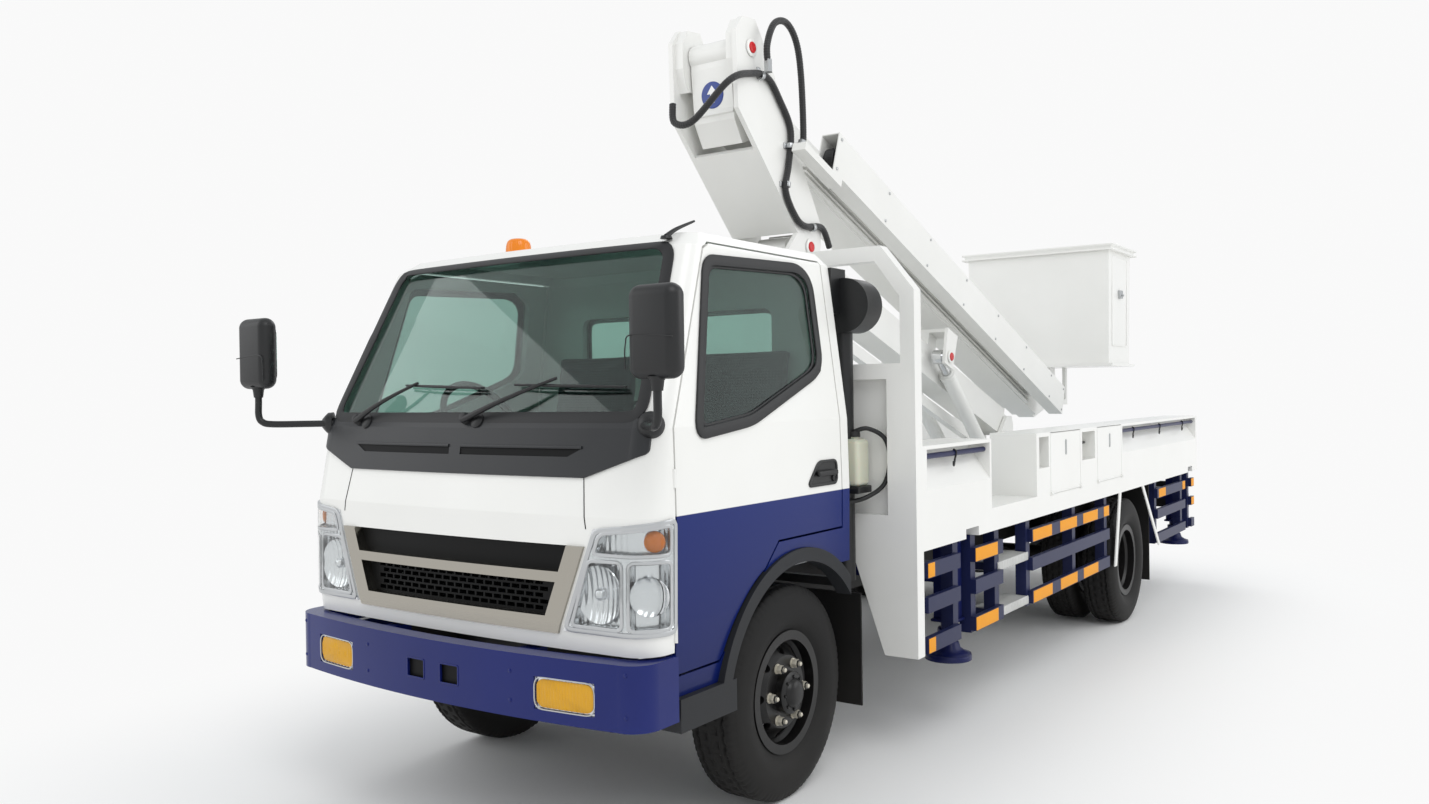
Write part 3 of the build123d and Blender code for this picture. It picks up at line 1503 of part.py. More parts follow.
# Hoses. Route points: distance ahead of the knuckle pin, distance to the left of the middle
# plane and height above the pin.
hose_radius = 16
hose_bend = 38
hose_y = riser_half + hose_radius
loop_y = hose_y + hose_radius * 2 + slide_clearance
tray_strut_shares = (0.06, 0.5, 0.94)
fitting_start = 420
fitting_end = 800
fitting_along = 470
fitting_height = 40
riser_route = (
    (208, -105, -255),
    (218, -90, -345),
    (218, 10, -350),
    (194, hose_y, -185),
    (20, hose_y, -125),
    (-119, hose_y, -115),
    (-224, hose_y, -196),
    (-321, hose_y, -320),
    (-298, hose_y, -493),
    (-267, hose_y, -618),
    (-348, hose_y, -727),
    (-443, hose_y, -770),
    (-612, hose_y, -760),
    (-690, hose_y, -850),
)
loop_route = (
    (-64, loop_y, -77),
    (-58, loop_y, 18),
    (-122, loop_y, 132),
    (-230, loop_y, 165),
    (-320, loop_y, 98),
    (-362, loop_y, -54),
)


def hose(route, last_points=()):
    """Hose along straight runs joined by round bends."""
    points = [(knuckle_pin[0] + x, y, knuckle_pin[1] + z) for x, y, z in route] + list(last_points)
    with BuildPart() as tube:
        with BuildLine() as run:
            FilletPolyline(*points, radius=hose_bend)
        with BuildSketch(Plane(origin=run.line @ 0, z_dir=run.line % 0)):
            Circle(hose_radius)
        sweep()
    return tube.part


write(hose(riser_route), "riser_hoses")
loop_end = []
tray_low = -tray_drop - tray_height / 2
for height in (tray_low + hose_bend * 2, tray_low):
    x, z = on_line(knuckle_pin, boom_along, boom_up, fitting_along, height)
    loop_end.append((x, loop_y, z))
with BuildPart() as boom_hoses:
    add(hose(loop_route, loop_end))
    track_line = on_line(knuckle_pin, boom_along, boom_up, 0, -tray_drop - tray_wall)
    beam(track_line, boom_along, boom_up, track_start, track_end, tray_height / 2 - tray_wall * 2,
         tray_outer - tray_wall * 3, tray_inner + tray_wall * 3)
write(boom_hoses.part, "boom_hoses")

# Lift cylinders beside the lower arm
cylinder_run = Vector(ear_pin[0] - cylinder_pin[0], ear_pin[1] - cylinder_pin[1])
cylinder_along = cylinder_run.normalized()
cylinder_length = cylinder_run.length
barrel_start_share = 0.02
barrel_end_share = 0.84
with BuildPart() as lift_barrels:
    for side in (1, -1):
        first = on_line(cylinder_pin, cylinder_along, arm_up, cylinder_length * barrel_start_share, 0)
        last = on_line(cylinder_pin, cylinder_along, arm_up, cylinder_length * barrel_end_share, 0)
        bar((first[0], side * cylinder_y, first[1]), (last[0], side * cylinder_y, last[1]), cylinder_radius)
        disc(cylinder_pin[0], side * cylinder_y + cylinder_eye_width / 2, cylinder_pin[1],
             cylinder_eye_radius, cylinder_eye_width)
        bar((first[0], side * cylinder_y, first[1]), (last[0], side * cylinder_y, last[1]),
            cylinder_rod_radius + fit_gap, Mode.SUBTRACT)
        disc(cylinder_pin[0], side * cylinder_y + cylinder_eye_width / 2, cylinder_pin[1],
             cylinder_eye_radius, cylinder_eye_width)
        disc(cylinder_pin[0], side * cylinder_y + cylinder_eye_width, cylinder_pin[1],
             pin_radius + fit_gap, cylinder_eye_width * 2, Mode.SUBTRACT)
write(lift_barrels.part, "lift_barrels")

with BuildPart() as lift_rods:
    for side in (1, -1):
        first = on_line(cylinder_pin, cylinder_along, arm_up, cylinder_eye_radius * 2, 0)
        bar((first[0], side * cylinder_y, first[1]), (ear_pin[0], side * cylinder_y, ear_pin[1]),
            cylinder_rod_radius)
        disc(ear_pin[0], side * cylinder_y + cylinder_eye_width / 2, ear_pin[1],
             cylinder_eye_radius, cylinder_eye_width)
        disc(ear_pin[0], side * cylinder_y + cylinder_eye_width / 2 + cheek_gap * 2, ear_pin[1],
             pin_radius, cylinder_eye_width + cheek_gap * 4)
write(lift_rods.part, "lift_rods")

# Upper boom with its side tray, the telescope inside it and the bucket on its end
# Outline points of the boom's root: distance ahead of the knuckle pin and height above it.
root_points = (
    (45, -20),
    (48, -70),
    (24, -315),
    (-40, -418),
    (-110, -395),
    (-170, -120),
    (-58, -10),
)
boom_line = on_line(knuckle_pin, boom_along, boom_up, 0, -boom_drop)
tray_line = on_line(knuckle_pin, boom_along, boom_up, 0, -tray_drop)
boom_half = boom_width / 2
root_boss = riser_inner - ear_pad - slide_clearance
telescope_half = boom_half - boom_wall - slide_clearance
telescope_half_height = boom_height / 2 - boom_wall - slide_clearance
with BuildPart() as upper_boom:
    boss(knuckle_pin, boss_radius, root_boss)
    beam(boom_line, boom_along, boom_up, boss_radius, boom_length, boom_height / 2, boom_half, -boom_half)
    beam(boom_line, boom_along, boom_up, telescope_start - overrun, boom_length + overrun,
         boom_height / 2 - boom_wall, boom_half - boom_wall, -boom_half + boom_wall, Mode.SUBTRACT)
    beam(boom_line, boom_along, boom_up, boom_length - pad_length, boom_length,
         boom_height / 2 - boom_wall, boom_half - boom_wall, -boom_half + boom_wall)
    beam(boom_line, boom_along, boom_up, boom_length - pad_length * 2, boom_length + overrun,
         telescope_half_height + fit_gap, telescope_half + fit_gap, -telescope_half - fit_gap,
         Mode.SUBTRACT)
    root_outline = tuple((knuckle_pin[0] + x, knuckle_pin[1] + z) for x, z in root_points)
    slab(side_plane(boom_half), root_outline, boom_width)
    boss(knuckle_pin, pin_radius + fit_gap, riser_half, Mode.SUBTRACT)
    for level in rib_levels:
        rib_line = on_line(boom_line, boom_along, boom_up, 0, level)
        beam(rib_line, boom_along, boom_up, tray_start, boom_length - pad_length, rib_height / 2,
             boom_half + rib_width, boom_half)
    for y_high in (tray_outer, tray_inner + tray_wall):
        beam(tray_line, boom_along, boom_up, tray_start, tray_end, tray_height / 2, y_high,
             y_high - tray_wall)
    for height in (tray_height / 2 - tray_wall / 2, -tray_height / 2 + tray_wall / 2):
        base = on_line(tray_line, boom_along, boom_up, 0, height)
        beam(base, boom_along, boom_up, tray_start, tray_end, tray_wall / 2, tray_outer, tray_inner)
    base = on_line(tray_line, boom_along, boom_up, 0, -(tray_height + fitting_height) / 2)
    beam(base, boom_along, boom_up, fitting_start, fitting_end, fitting_height / 2,
         tray_outer, loop_y - hose_radius)
    for share in tray_strut_shares:
        place = tray_start + (min(tray_end, boom_length) - tray_start) * share
        beam(tray_line, boom_along, boom_up, place, place + boss_radius, tray_height / 4, tray_inner,
             boom_half)
write(upper_boom.part, "upper_boom")

bucket_pin = on_line(knuckle_pin, boom_along, boom_up, telescope_pin, 0)
neck_start = telescope_end - boss_radius
with BuildPart() as telescope:
    beam(boom_line, boom_along, boom_up, telescope_start, telescope_end, telescope_half_height,
         telescope_half, -telescope_half)
    beam(boom_line, boom_along, boom_up, telescope_start, telescope_start + pad_length,
         boom_height / 2 - boom_wall - fit_gap, boom_half - boom_wall - fit_gap,
         -boom_half + boom_wall + fit_gap)
    beam(boom_line, boom_along, boom_up, telescope_start - overrun, neck_start,
         telescope_half_height - telescope_wall, telescope_half - telescope_wall,
         -telescope_half + telescope_wall, Mode.SUBTRACT)
    slab(side_plane(boss_radius), (
        on_line(boom_line, boom_along, boom_up, neck_start, telescope_half_height),
        on_line(boom_line, boom_along, boom_up, neck_start, -telescope_half_height),
        on_line(boom_line, boom_along, boom_up, telescope_end + boss_radius, -telescope_half_height),
        on_line(knuckle_pin, boom_along, boom_up, telescope_pin + boss_radius * 0.7, -boss_radius * 0.7),
        on_line(knuckle_pin, boom_along, boom_up, telescope_pin - boss_radius * 0.7, boss_radius * 0.7),
        on_line(boom_line, boom_along, boom_up, telescope_end, telescope_half_height),
    ), boss_radius * 2)
    boss(bucket_pin, boss_radius, boss_radius)
    boss(bucket_pin, pin_radius + fit_gap, boss_radius * 2, Mode.SUBTRACT)
write(telescope.part, "telescope")

bucket_front = behind(bucket_front_back)
bucket_back = bucket_front - bucket_depth
bucket_half = bucket_width / 2
bracket_half = boss_radius + cheek_gap
bracket_tube = 44
with BuildPart() as bucket:
    with BuildSketch(Plane.XY.offset(bucket_floor)) as bucket_low:
        with Locations(((bucket_front + bucket_back) / 2, 0)):
            Rectangle(bucket_depth - bucket_taper * 2, bucket_width - bucket_taper * 2)
    with BuildSketch(Plane.XY.offset(bucket_top)) as bucket_high:
        with Locations(((bucket_front + bucket_back) / 2, 0)):
            Rectangle(bucket_depth, bucket_width)
    loft([bucket_low.sketch, bucket_high.sketch], ruled=True)
    block((bucket_back - bucket_rim / 2, -bucket_half - bucket_rim / 2, bucket_top - bucket_rim_height),
          (bucket_front + bucket_rim / 2, bucket_half + bucket_rim / 2, bucket_top))
    with BuildSketch(Plane.XY.offset(bucket_floor + bucket_wall)) as space_low:
        with Locations(((bucket_front + bucket_back) / 2, 0)):
            Rectangle(bucket_depth - bucket_taper * 2 - bucket_wall * 2,
                      bucket_width - bucket_taper * 2 - bucket_wall * 2)
    with BuildSketch(Plane.XY.offset(bucket_top + bucket_wall)) as space_high:
        with Locations(((bucket_front + bucket_back) / 2, 0)):
            Rectangle(bucket_depth - bucket_wall * 2, bucket_width - bucket_wall * 2)
    loft([space_low.sketch, space_high.sketch], ruled=True, mode=Mode.SUBTRACT)
    block((bucket_back - bucket_rim / 2, -bucket_half * 0.55, bucket_floor - bucket_rim_height * 0.5),
          (bucket_front + bucket_rim / 2, bucket_half + bucket_rim / 2, bucket_floor))
    bracket_low = bucket_pin[1] - boss_radius
    for side in (1, -1):
        inner = side * bracket_half
        outer = side * (bracket_half + cheek_thickness)
        block((bucket_pin[0] - boss_radius, inner, bracket_low),
              (bucket_pin[0] + boss_radius, outer, bucket_floor))
        block((bucket_back + bucket_depth * 0.25, inner, bracket_low),
              (bucket_back + bucket_depth * 0.25 + bracket_tube, outer, bucket_floor))
        block((bucket_back + bucket_depth * 0.25, inner, bracket_low),
              (bucket_pin[0], outer, bracket_low + bracket_tube))
    boss(bucket_pin, pin_radius, bracket_half + cheek_thickness)
write(bucket.part, "bucket")
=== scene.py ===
# %% [markdown]
# # Cherry picker truck
# The imported CAD model is the frame of this scene: a light cab-over truck with a folded boom,
# a work bucket, jacks and side lockers. Blender adds what a step closer shows: paint, rubber,
# tread, gaskets, lamps, hoses and small fittings. The frame is loaded first. Nothing added
# here may make the truck larger than it is in CAD.

# %% Load the frame
import math
import bpy
import bmesh
import numpy as np
from mathutils import Matrix, Vector


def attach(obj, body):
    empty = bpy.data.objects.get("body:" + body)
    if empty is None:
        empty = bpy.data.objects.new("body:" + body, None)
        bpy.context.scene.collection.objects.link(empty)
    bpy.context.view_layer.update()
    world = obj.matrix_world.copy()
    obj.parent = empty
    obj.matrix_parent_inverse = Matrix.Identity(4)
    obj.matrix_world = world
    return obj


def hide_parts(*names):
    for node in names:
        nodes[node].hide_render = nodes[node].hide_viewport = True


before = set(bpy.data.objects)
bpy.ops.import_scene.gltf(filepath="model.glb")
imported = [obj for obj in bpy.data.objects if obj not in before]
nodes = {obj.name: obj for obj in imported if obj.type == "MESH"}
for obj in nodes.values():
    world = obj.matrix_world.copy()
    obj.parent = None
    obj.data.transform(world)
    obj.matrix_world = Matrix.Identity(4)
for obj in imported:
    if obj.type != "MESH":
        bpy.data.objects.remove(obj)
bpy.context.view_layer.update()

# %% [markdown]
# Colours are written as hex values read off the photograph. Those are sRGB, while shaders
# work with linear light, so one function turns them. A material is a small tree of nodes. One
# function adds a node with its settings and its links, which keeps each recipe below short.

# %% Colour and node helpers
def linear(code):
    """Hex sRGB colour as linear red, green, blue and alpha."""
    values = np.array([int(code[i:i + 2], 16) for i in (1, 3, 5)]) / 255
    low = values / 12.92
    high = ((values + 0.055) / 1.055) ** 2.4
    return tuple(float(v) for v in np.where(values <= 0.04045, low, high)) + (1.0,)


def add(tree, kind, values=(), **settings):
    """Adds one node. Settings are its properties; values fill its inputs or link to them."""
    item = tree.nodes.new(kind)
    for key, value in settings.items():
        setattr(item, key, value)
    for key, value in dict(values).items():
        if isinstance(value, bpy.types.NodeSocket):
            tree.links.new(value, item.inputs[key])
        else:
            item.inputs[key].default_value = value
    return item


def finish(name, roughness, metallic=0.0, **extra):
    """New material: its tree, its shader and the object coordinates in metres."""
    material = bpy.data.materials.new(name)
    material.use_nodes = True
    tree = material.node_tree
    shader = tree.nodes["Principled BSDF"]
    shader.inputs["Roughness"].default_value = roughness
    shader.inputs["Metallic"].default_value = metallic
    for key, value in extra.items():
        shader.inputs[key.replace("_", " ")].default_value = value
    place = add(tree, "ShaderNodeTexCoord").outputs["Object"]
    return material, tree, shader, place


def dress(material, *names):
    """Gives CAD nodes their finished material."""
    for name in names:
        mesh = nodes[name].data
        mesh.materials.clear()
        mesh.materials.append(material)


print("white as linear light", [round(v, 3) for v in linear("#F2F2F0")])

# %% [markdown]
# Most of the truck is sprayed enamel. Up close, sprayed paint has a faint waviness called
# orange peel, a few millimetres across, and outdoors it gathers a thin film of dust that lies
# thickest near the ground. A noise texture of 4 mm gives the bump, a slow noise of 0.4 m
# varies the colour, and a ramp on height adds the dust. All read object coordinates, so the
# pattern keeps its real size on every piece.

# %% Sprayed enamel
dust_colour = linear("#A79E90")
peel_size = 0.004
cloud_size = 0.4


def enamel(name, code, shade, roughness=0.3, dust=0.10, dust_top=1.0, coat=0.3, gloss=0.5):
    """Sprayed paint: base colour, a slow drift to a darker shade, dust and orange peel."""
    material, tree, shader, place = finish(name, roughness, Coat_Weight=coat, Coat_Roughness=0.08,
                                           Specular_IOR_Level=gloss)
    cloud = add(tree, "ShaderNodeTexNoise", {"Vector": place, "Scale": 1 / cloud_size, "Detail": 5.0})
    drift = add(tree, "ShaderNodeMix", {0: cloud.outputs[0], 6: linear(code), 7: linear(shade)},
                data_type="RGBA")
    height = add(tree, "ShaderNodeSeparateXYZ", {0: place}).outputs["Z"]
    low = add(tree, "ShaderNodeMapRange", {"Value": height, "From Min": dust_top, "From Max": 0.2,
                                           "To Min": dust * 0.25, "To Max": dust * 2}).outputs[0]
    grit = add(tree, "ShaderNodeTexNoise", {"Vector": place, "Scale": 9.0, "Detail": 8.0})
    film = add(tree, "ShaderNodeMath", {0: low, 1: grit.outputs[0]}, operation="MULTIPLY")
    dusty = add(tree, "ShaderNodeMix", {0: film.outputs[0], 6: drift.outputs[2], 7: dust_colour},
                data_type="RGBA")
    peel = add(tree, "ShaderNodeTexNoise", {"Vector": place, "Scale": 1 / peel_size, "Detail": 2.0})
    bump = add(tree, "ShaderNodeBump", {"Height": peel.outputs[0], "Strength": 0.035,
                                        "Distance": 0.001})
    tree.links.new(dusty.outputs[2], shader.inputs["Base Color"])
    tree.links.new(bump.outputs[0], shader.inputs["Normal"])
    return material


white_enamel = enamel("white_enamel_on_steel", "#F1F1EE", "#E8E8E4", dust=0.04)
boom_enamel = enamel("boom_white_enamel", "#EFEFEC", "#E4E4E0", dust=0.03)
bumper_enamel = enamel("blue_enamel_on_steel", "#10216E", "#0C1A5C", roughness=0.26, dust=0.01, coat=0.0,
                       gloss=0.3)
jack_enamel = enamel("dark_blue_enamel", "#0A1650", "#071040", roughness=0.34, dust=0.01, coat=0.0,
                     gloss=0.25)
guard_enamel = enamel("grey_blue_enamel", "#1A234E", "#131A40", roughness=0.4, dust=0.02, coat=0.0,
                      gloss=0.25)
wheel_enamel = enamel("black_wheel_enamel", "#0E0E10", "#09090A", roughness=0.34, dust=0.01, coat=0.0,
                      gloss=0.4)
frame_enamel = enamel("chassis_black_enamel", "#101012", "#0A0A0B", roughness=0.5, dust=0.03, coat=0.0,
                      gloss=0.3)
deck_enamel = enamel("grey_deck_enamel", "#DADDDE", "#C7CBCD", roughness=0.42, dust=0.12)
dress(white_enamel, "headboard_rack", "turret", "lift_barrels", "body_sides", "locker_door_front_left",
      "locker_door_rear_left", "locker_door_front_right", "locker_door_rear_right", "bucket")
dress(boom_enamel, "lower_arm", "tie_rod", "riser_head", "upper_boom", "telescope")
dress(bumper_enamel, "front_bumper")
dress(jack_enamel, "jack_housings", "jack_leg_front_left", "jack_leg_front_right",
      "jack_leg_rear_left", "jack_leg_rear_right")
dress(guard_enamel, "side_guards")
dress(wheel_enamel, "wheel_front_left", "wheel_front_right", "wheels_rear_left", "wheels_rear_right")
dress(frame_enamel, "chassis_frame", "fuel_tank", "rear_bumper", "front_axle", "rear_axle",
      "knuckle_left", "knuckle_right")
dress(deck_enamel, "deck")
print("enamels", len(bpy.data.materials))

# %% [markdown]
# The cab is white above and deep blue below. The line between the two runs along the crease
# of the door, 1.14 m over the ground, and the blue stops at the front edge of the door, so
# the nose stays white. Masking tape gives a sharp edge, so two narrow ramps on object
# coordinates, 2 mm wide, cut the colours.

# %% Two-colour cab paint
crease_height = 1.14
blue_front = 3.181


def two_colour_paint():
    """White enamel with a blue field below the crease and behind the nose; the blue darkens towards the sill
    as painted shade.
    """
    material = enamel("two_colour_cab_enamel", "#F2F2EF", "#EAEAE6", roughness=0.24, dust=0.01, coat=0.0)
    tree = material.node_tree
    shader = tree.nodes["Principled BSDF"]
    place = add(tree, "ShaderNodeTexCoord").outputs["Object"]
    axes = add(tree, "ShaderNodeSeparateXYZ", {0: place})
    below = add(tree, "ShaderNodeMapRange", {"Value": axes.outputs["Z"], "From Min": crease_height,
                                             "From Max": crease_height - 0.002}).outputs[0]
    behind = add(tree, "ShaderNodeMapRange", {"Value": axes.outputs["X"], "From Min": blue_front,
                                              "From Max": blue_front - 0.002}).outputs[0]
    field = add(tree, "ShaderNodeMath", {0: below, 1: behind}, operation="MULTIPLY").outputs[0]
    # painted shade: the blue runs darker from the crease down to 0.6 m over the ground
    fade = add(tree, "ShaderNodeMapRange", {"Value": axes.outputs["Z"], "From Min": 0.6,
                                            "From Max": crease_height}).outputs[0]
    blue = add(tree, "ShaderNodeMix", {0: fade, 6: linear("#0D1B57"), 7: linear("#12256B")},
               data_type="RGBA").outputs[2]
    sheen = add(tree, "ShaderNodeMapRange", {"Value": field, "To Min": 0.5, "To Max": 0.2}).outputs[0]
    tree.links.new(sheen, shader.inputs["Specular IOR Level"])
    base = shader.inputs["Base Color"].links[0].from_socket
    both = add(tree, "ShaderNodeMix", {0: field, 6: base, 7: blue}, data_type="RGBA").outputs[2]
    tree.links.new(both, shader.inputs["Base Color"])
    return material


cab_paint = two_colour_paint()
dress(cab_paint, "cab_shell", "door_left", "door_right")
print("cab painted down to", crease_height)

# %% [markdown]
# ## Rubber, plastic, iron and bright metal
# Tyre rubber is nearly black, and dust greys it at the foot. Moulded plastic has a fine grain,
# pressed into the mould, about 0.8 mm across; it is drawn at 2 mm here, because anything finer
# vanishes at this distance. Cast iron shows the sand of its mould. Polished stainless steel
# keeps a faint brushed line along its length, so its noise is stretched 40 times along X.

# %% Plastics and rubbers
def grained(name, code, shade, roughness, grain, depth, metallic=0.0, dust=0.12, **extra):
    """Moulded or cast surface: a slow colour drift, dust below and a fine grain in relief."""
    material, tree, shader, place = finish(name, roughness, metallic, **extra)
    cloud = add(tree, "ShaderNodeTexNoise", {"Vector": place, "Scale": 6.0, "Detail": 6.0})
    drift = add(tree, "ShaderNodeMix", {0: cloud.outputs[0], 6: linear(code), 7: linear(shade)},
                data_type="RGBA")
    height = add(tree, "ShaderNodeSeparateXYZ", {0: place}).outputs["Z"]
    low = add(tree, "ShaderNodeMapRange", {"Value": height, "From Min": 0.9, "From Max": 0.0,
                                           "To Min": 0.0, "To Max": dust * 2}).outputs[0]
    film = add(tree, "ShaderNodeMath", {0: low, 1: cloud.outputs[0]}, operation="MULTIPLY")
    dusty = add(tree, "ShaderNodeMix", {0: film.outputs[0], 6: drift.outputs[2], 7: dust_colour},
                data_type="RGBA")
    pits = add(tree, "ShaderNodeTexNoise", {"Vector": place, "Scale": 1 / grain, "Detail": 3.0})
    bump = add(tree, "ShaderNodeBump", {"Height": pits.outputs[0], "Strength": depth,
                                        "Distance": 0.001})
    tree.links.new(dusty.outputs[2], shader.inputs["Base Color"])
    tree.links.new(bump.outputs[0], shader.inputs["Normal"])
    return material


tyre_rubber = grained("vulcanised_tyre_rubber", "#0F0F10", "#09090A", 0.66, 0.003, 0.18, dust=0.02,
                      Specular_IOR_Level=0.3)
sheet_rubber = grained("black_rubber_sheet", "#0E0E0F", "#09090A", 0.6, 0.004, 0.15, dust=0.03,
                       Specular_IOR_Level=0.3)
seal_rubber = grained("extruded_seal_rubber", "#18191B", "#101113", 0.5, 0.003, 0.10, dust=0.03)
flare_plastic = grained("dark_grey_flare_plastic", "#26282C", "#1E2023", 0.55, 0.002, 0.15, dust=0.02,
                        Specular_IOR_Level=0.3)
black_plastic = grained("black_grained_plastic", "#17181A", "#101112", 0.42, 0.002, 0.12, dust=0.03)
panel_plastic = grained("satin_black_panel", "#232528", "#1B1D20", 0.4, 0.003, 0.06, dust=0.02)
dash_plastic = grained("dashboard_plastic", "#3B3D40", "#313336", 0.6, 0.003, 0.2)
mesh_plastic = grained("grille_mesh_plastic", "#08090A", "#050506", 0.55, 0.002, 0.1, dust=0.01,
                       Specular_IOR_Level=0.2)
cast_iron = grained("sand_cast_iron", "#3A3836", "#2A2826", 0.75, 0.005, 0.4, metallic=0.2)
amber_plastic = grained("amber_lens_plastic", "#F28A06", "#E57A02", 0.22, 0.006, 0.05, dust=0.02)
fog_plastic = grained("yellow_fog_lens_plastic", "#E3A90C", "#CC9206", 0.2, 0.006, 0.05, dust=0.02)
dress(tyre_rubber, "tyre_front_left", "tyre_front_right", "tyres_rear_left", "tyres_rear_right")
dress(sheet_rubber, "mud_flaps")
dress(flare_plastic, "wheel_arches")
dress(black_plastic, "mirrors", "air_intake")
dress(panel_plastic, "garnish_panel")
dress(dash_plastic, "dashboard")
dress(mesh_plastic, "grille")
dress(cast_iron, "engine_block")
dress(amber_plastic, "roof_beacon")
print("plastics and rubbers ready")

# %% [markdown]
# A metal's colour lies in its reflection, so its base colour is light and metallic is 1. The
# default index of refraction stays. Chrome trim is smooth; hydraulic rods are ground, then
# chromed; clamps are zinc plated and slightly mottled.

# %% Bright metals
def bright(name, code, roughness, stretch, line):
    """Bare metal with fine lines: noise stretched along one axis moves the roughness."""
    material, tree, shader, place = finish(name, roughness, 1.0)
    shader.inputs["Base Color"].default_value = linear(code)
    drawn = add(tree, "ShaderNodeMapping", {"Vector": place, "Scale": stretch})
    lines = add(tree, "ShaderNodeTexNoise", {"Vector": drawn.outputs[0], "Scale": 1 / line,
                                             "Detail": 4.0})
    span = add(tree, "ShaderNodeMapRange", {"Value": lines.outputs[0], "To Min": roughness * 0.6,
                                            "To Max": roughness * 1.5})
    bump = add(tree, "ShaderNodeBump", {"Height": lines.outputs[0], "Strength": 0.04,
                                        "Distance": 0.001})
    tree.links.new(span.outputs[0], shader.inputs["Roughness"])
    tree.links.new(bump.outputs[0], shader.inputs["Normal"])
    return material


stainless = bright("polished_stainless_trim", "#A9A59C", 0.2, (1, 0.03, 1), 0.004)
rod_chrome = bright("ground_chrome_rod", "#DADBDC", 0.14, (0.05, 1, 1), 0.003)
zinc = bright("zinc_plated_fittings", "#B9BBBC", 0.32, (1, 1, 1), 0.006)
dress(stainless, "grille_frame")
dress(rod_chrome, "lift_rods")
print("metals ready")

# %% [markdown]
# Cab windows are tempered glass with a light green tint, 5 to 6 mm thick. The solid pane in
# CAD already has two faces, so real refraction works: transmission is 1 and the index is
# 1.45. The green sits in the base colour, and a faint haze of dust keeps the pane visible.
# Lamps have clear moulded lenses over a silver bowl; the solid lamp node is that bowl, and
# the lenses are pieces of their own later on.

# %% Glass and lamp bowls
def tinted(name, code, haze):
    """Clear pane: full transmission with a tint, and dust that roughens it in patches."""
    material, tree, shader, place = finish(name, 0.02, Transmission_Weight=1.0, IOR=1.45)
    shader.inputs["Base Color"].default_value = linear(code)
    dust = add(tree, "ShaderNodeTexNoise", {"Vector": place, "Scale": 7.0, "Detail": 7.0})
    span = add(tree, "ShaderNodeMapRange", {"Value": dust.outputs[0], "To Min": 0.0, "To Max": haze})
    tree.links.new(span.outputs[0], shader.inputs["Roughness"])
    return material


window_glass = tinted("green_tinted_glass", "#A9C4BC", 0.03)
lens_glass = tinted("clear_lamp_lens", "#F4F6F6", 0.04)


def lamp_bowl():
    """Silvered bowl with upright flutes, 14 mm apart, as a wave in relief."""
    material, tree, shader, place = finish("silvered_lamp_bowl", 0.22, 1.0)
    shader.inputs["Base Color"].default_value = linear("#DCDEE0")
    flutes = add(tree, "ShaderNodeTexWave", {"Vector": place, "Scale": 1 / 0.07, "Distortion": 0.4},
                 bands_direction="Y")
    bump = add(tree, "ShaderNodeBump", {"Height": flutes.outputs[1], "Strength": 0.4,
                                        "Distance": 0.004})
    tree.links.new(bump.outputs[0], shader.inputs["Normal"])
    return material


silver_bowl = lamp_bowl()
dress(window_glass, "door_glass_left", "door_glass_right", "cab_glass")
dress(silver_bowl, "front_lamps")
print("glass ready")

# %% [markdown]
# Seats are covered in woven cloth. Two waves at right angles, 6 mm apart, stand for the
# threads: a real thread is finer, but would not show through the glass. Hoses wear a woven
# sleeve that looks like black rubber with a cross pattern.

# %% Woven cloth and hose sleeve
def woven(name, code, shade, thread, roughness, depth):
    """Weave: two crossed waves multiplied give the raised spots of over-and-under threads."""
    material, tree, shader, place = finish(name, roughness, Sheen_Weight=0.2)
    across = add(tree, "ShaderNodeTexWave", {"Vector": place, "Scale": 1 / thread / 6.28},
                 bands_direction="Y")
    along = add(tree, "ShaderNodeTexWave", {"Vector": place, "Scale": 1 / thread / 6.28},
                bands_direction="Z")
    weave = add(tree, "ShaderNodeMath", {0: across.outputs[1], 1: along.outputs[1]},
                operation="MULTIPLY")
    tone = add(tree, "ShaderNodeMix", {0: weave.outputs[0], 6: linear(shade), 7: linear(code)},
               data_type="RGBA")
    bump = add(tree, "ShaderNodeBump", {"Height": weave.outputs[0], "Strength": depth,
                                        "Distance": 0.002})
    tree.links.new(tone.outputs[2], shader.inputs["Base Color"])
    tree.links.new(bump.outputs[0], shader.inputs["Normal"])
    return material


seat_cloth = woven("grey_woven_seat_cloth", "#56585C", "#3C3E42", 0.006, 0.9, 0.3)
hose_sleeve = woven("black_woven_hose_sleeve", "#2A2A2C", "#131314", 0.004, 0.55, 0.5)
dress(seat_cloth, "seats")
dress(hose_sleeve, "riser_hoses", "boom_hoses")
print("every node dressed:", all(o.data.materials for o in nodes.values()))

# %% [markdown]
# ## Surfaces by formula
# The pieces below are small surfaces on a grid. Each is a function of two parameters, worked
# out for all its points at once. Four kinds cover nearly everything: a profile turned about
# an axis, a block with a ball's rounding, a round tube along a path, and a band of any
# section along an outline. Ends run together into one point, doubles are merged, and faces
# are turned outwards, so each piece is closed.

# %% Surface helpers

front_axle = 2.415
rear_axle = -1.485
wheel_height = 0.401
knuckle_pin = np.array([1.68, 0.0, 3.115])
boom_along = np.array([-math.cos(math.radians(20)), 0.0, -math.sin(math.radians(20))])
boom_up = np.array([-math.sin(math.radians(20)), 0.0, math.cos(math.radians(20))])


def quads(rows, columns, wrap_rows=False, wrap_columns=False):
    """Faces of a grid of points: each cell joins a point, the next row and the next column."""
    r = np.arange(rows if wrap_rows else rows - 1)[:, None]
    c = np.arange(columns if wrap_columns else columns - 1)[None, :]
    r2, c2 = (r + 1) % rows, (c + 1) % columns
    cells = np.broadcast_arrays(r * columns + c, r2 * columns + c, r2 * columns + c2, r * columns + c2)
    return np.stack(cells, -1).reshape(-1, 4)


def unit(v):
    """Vectors divided by their length."""
    v = np.asarray(v, float)
    return v / np.maximum(np.linalg.norm(v, axis=-1, keepdims=True), 1e-12)


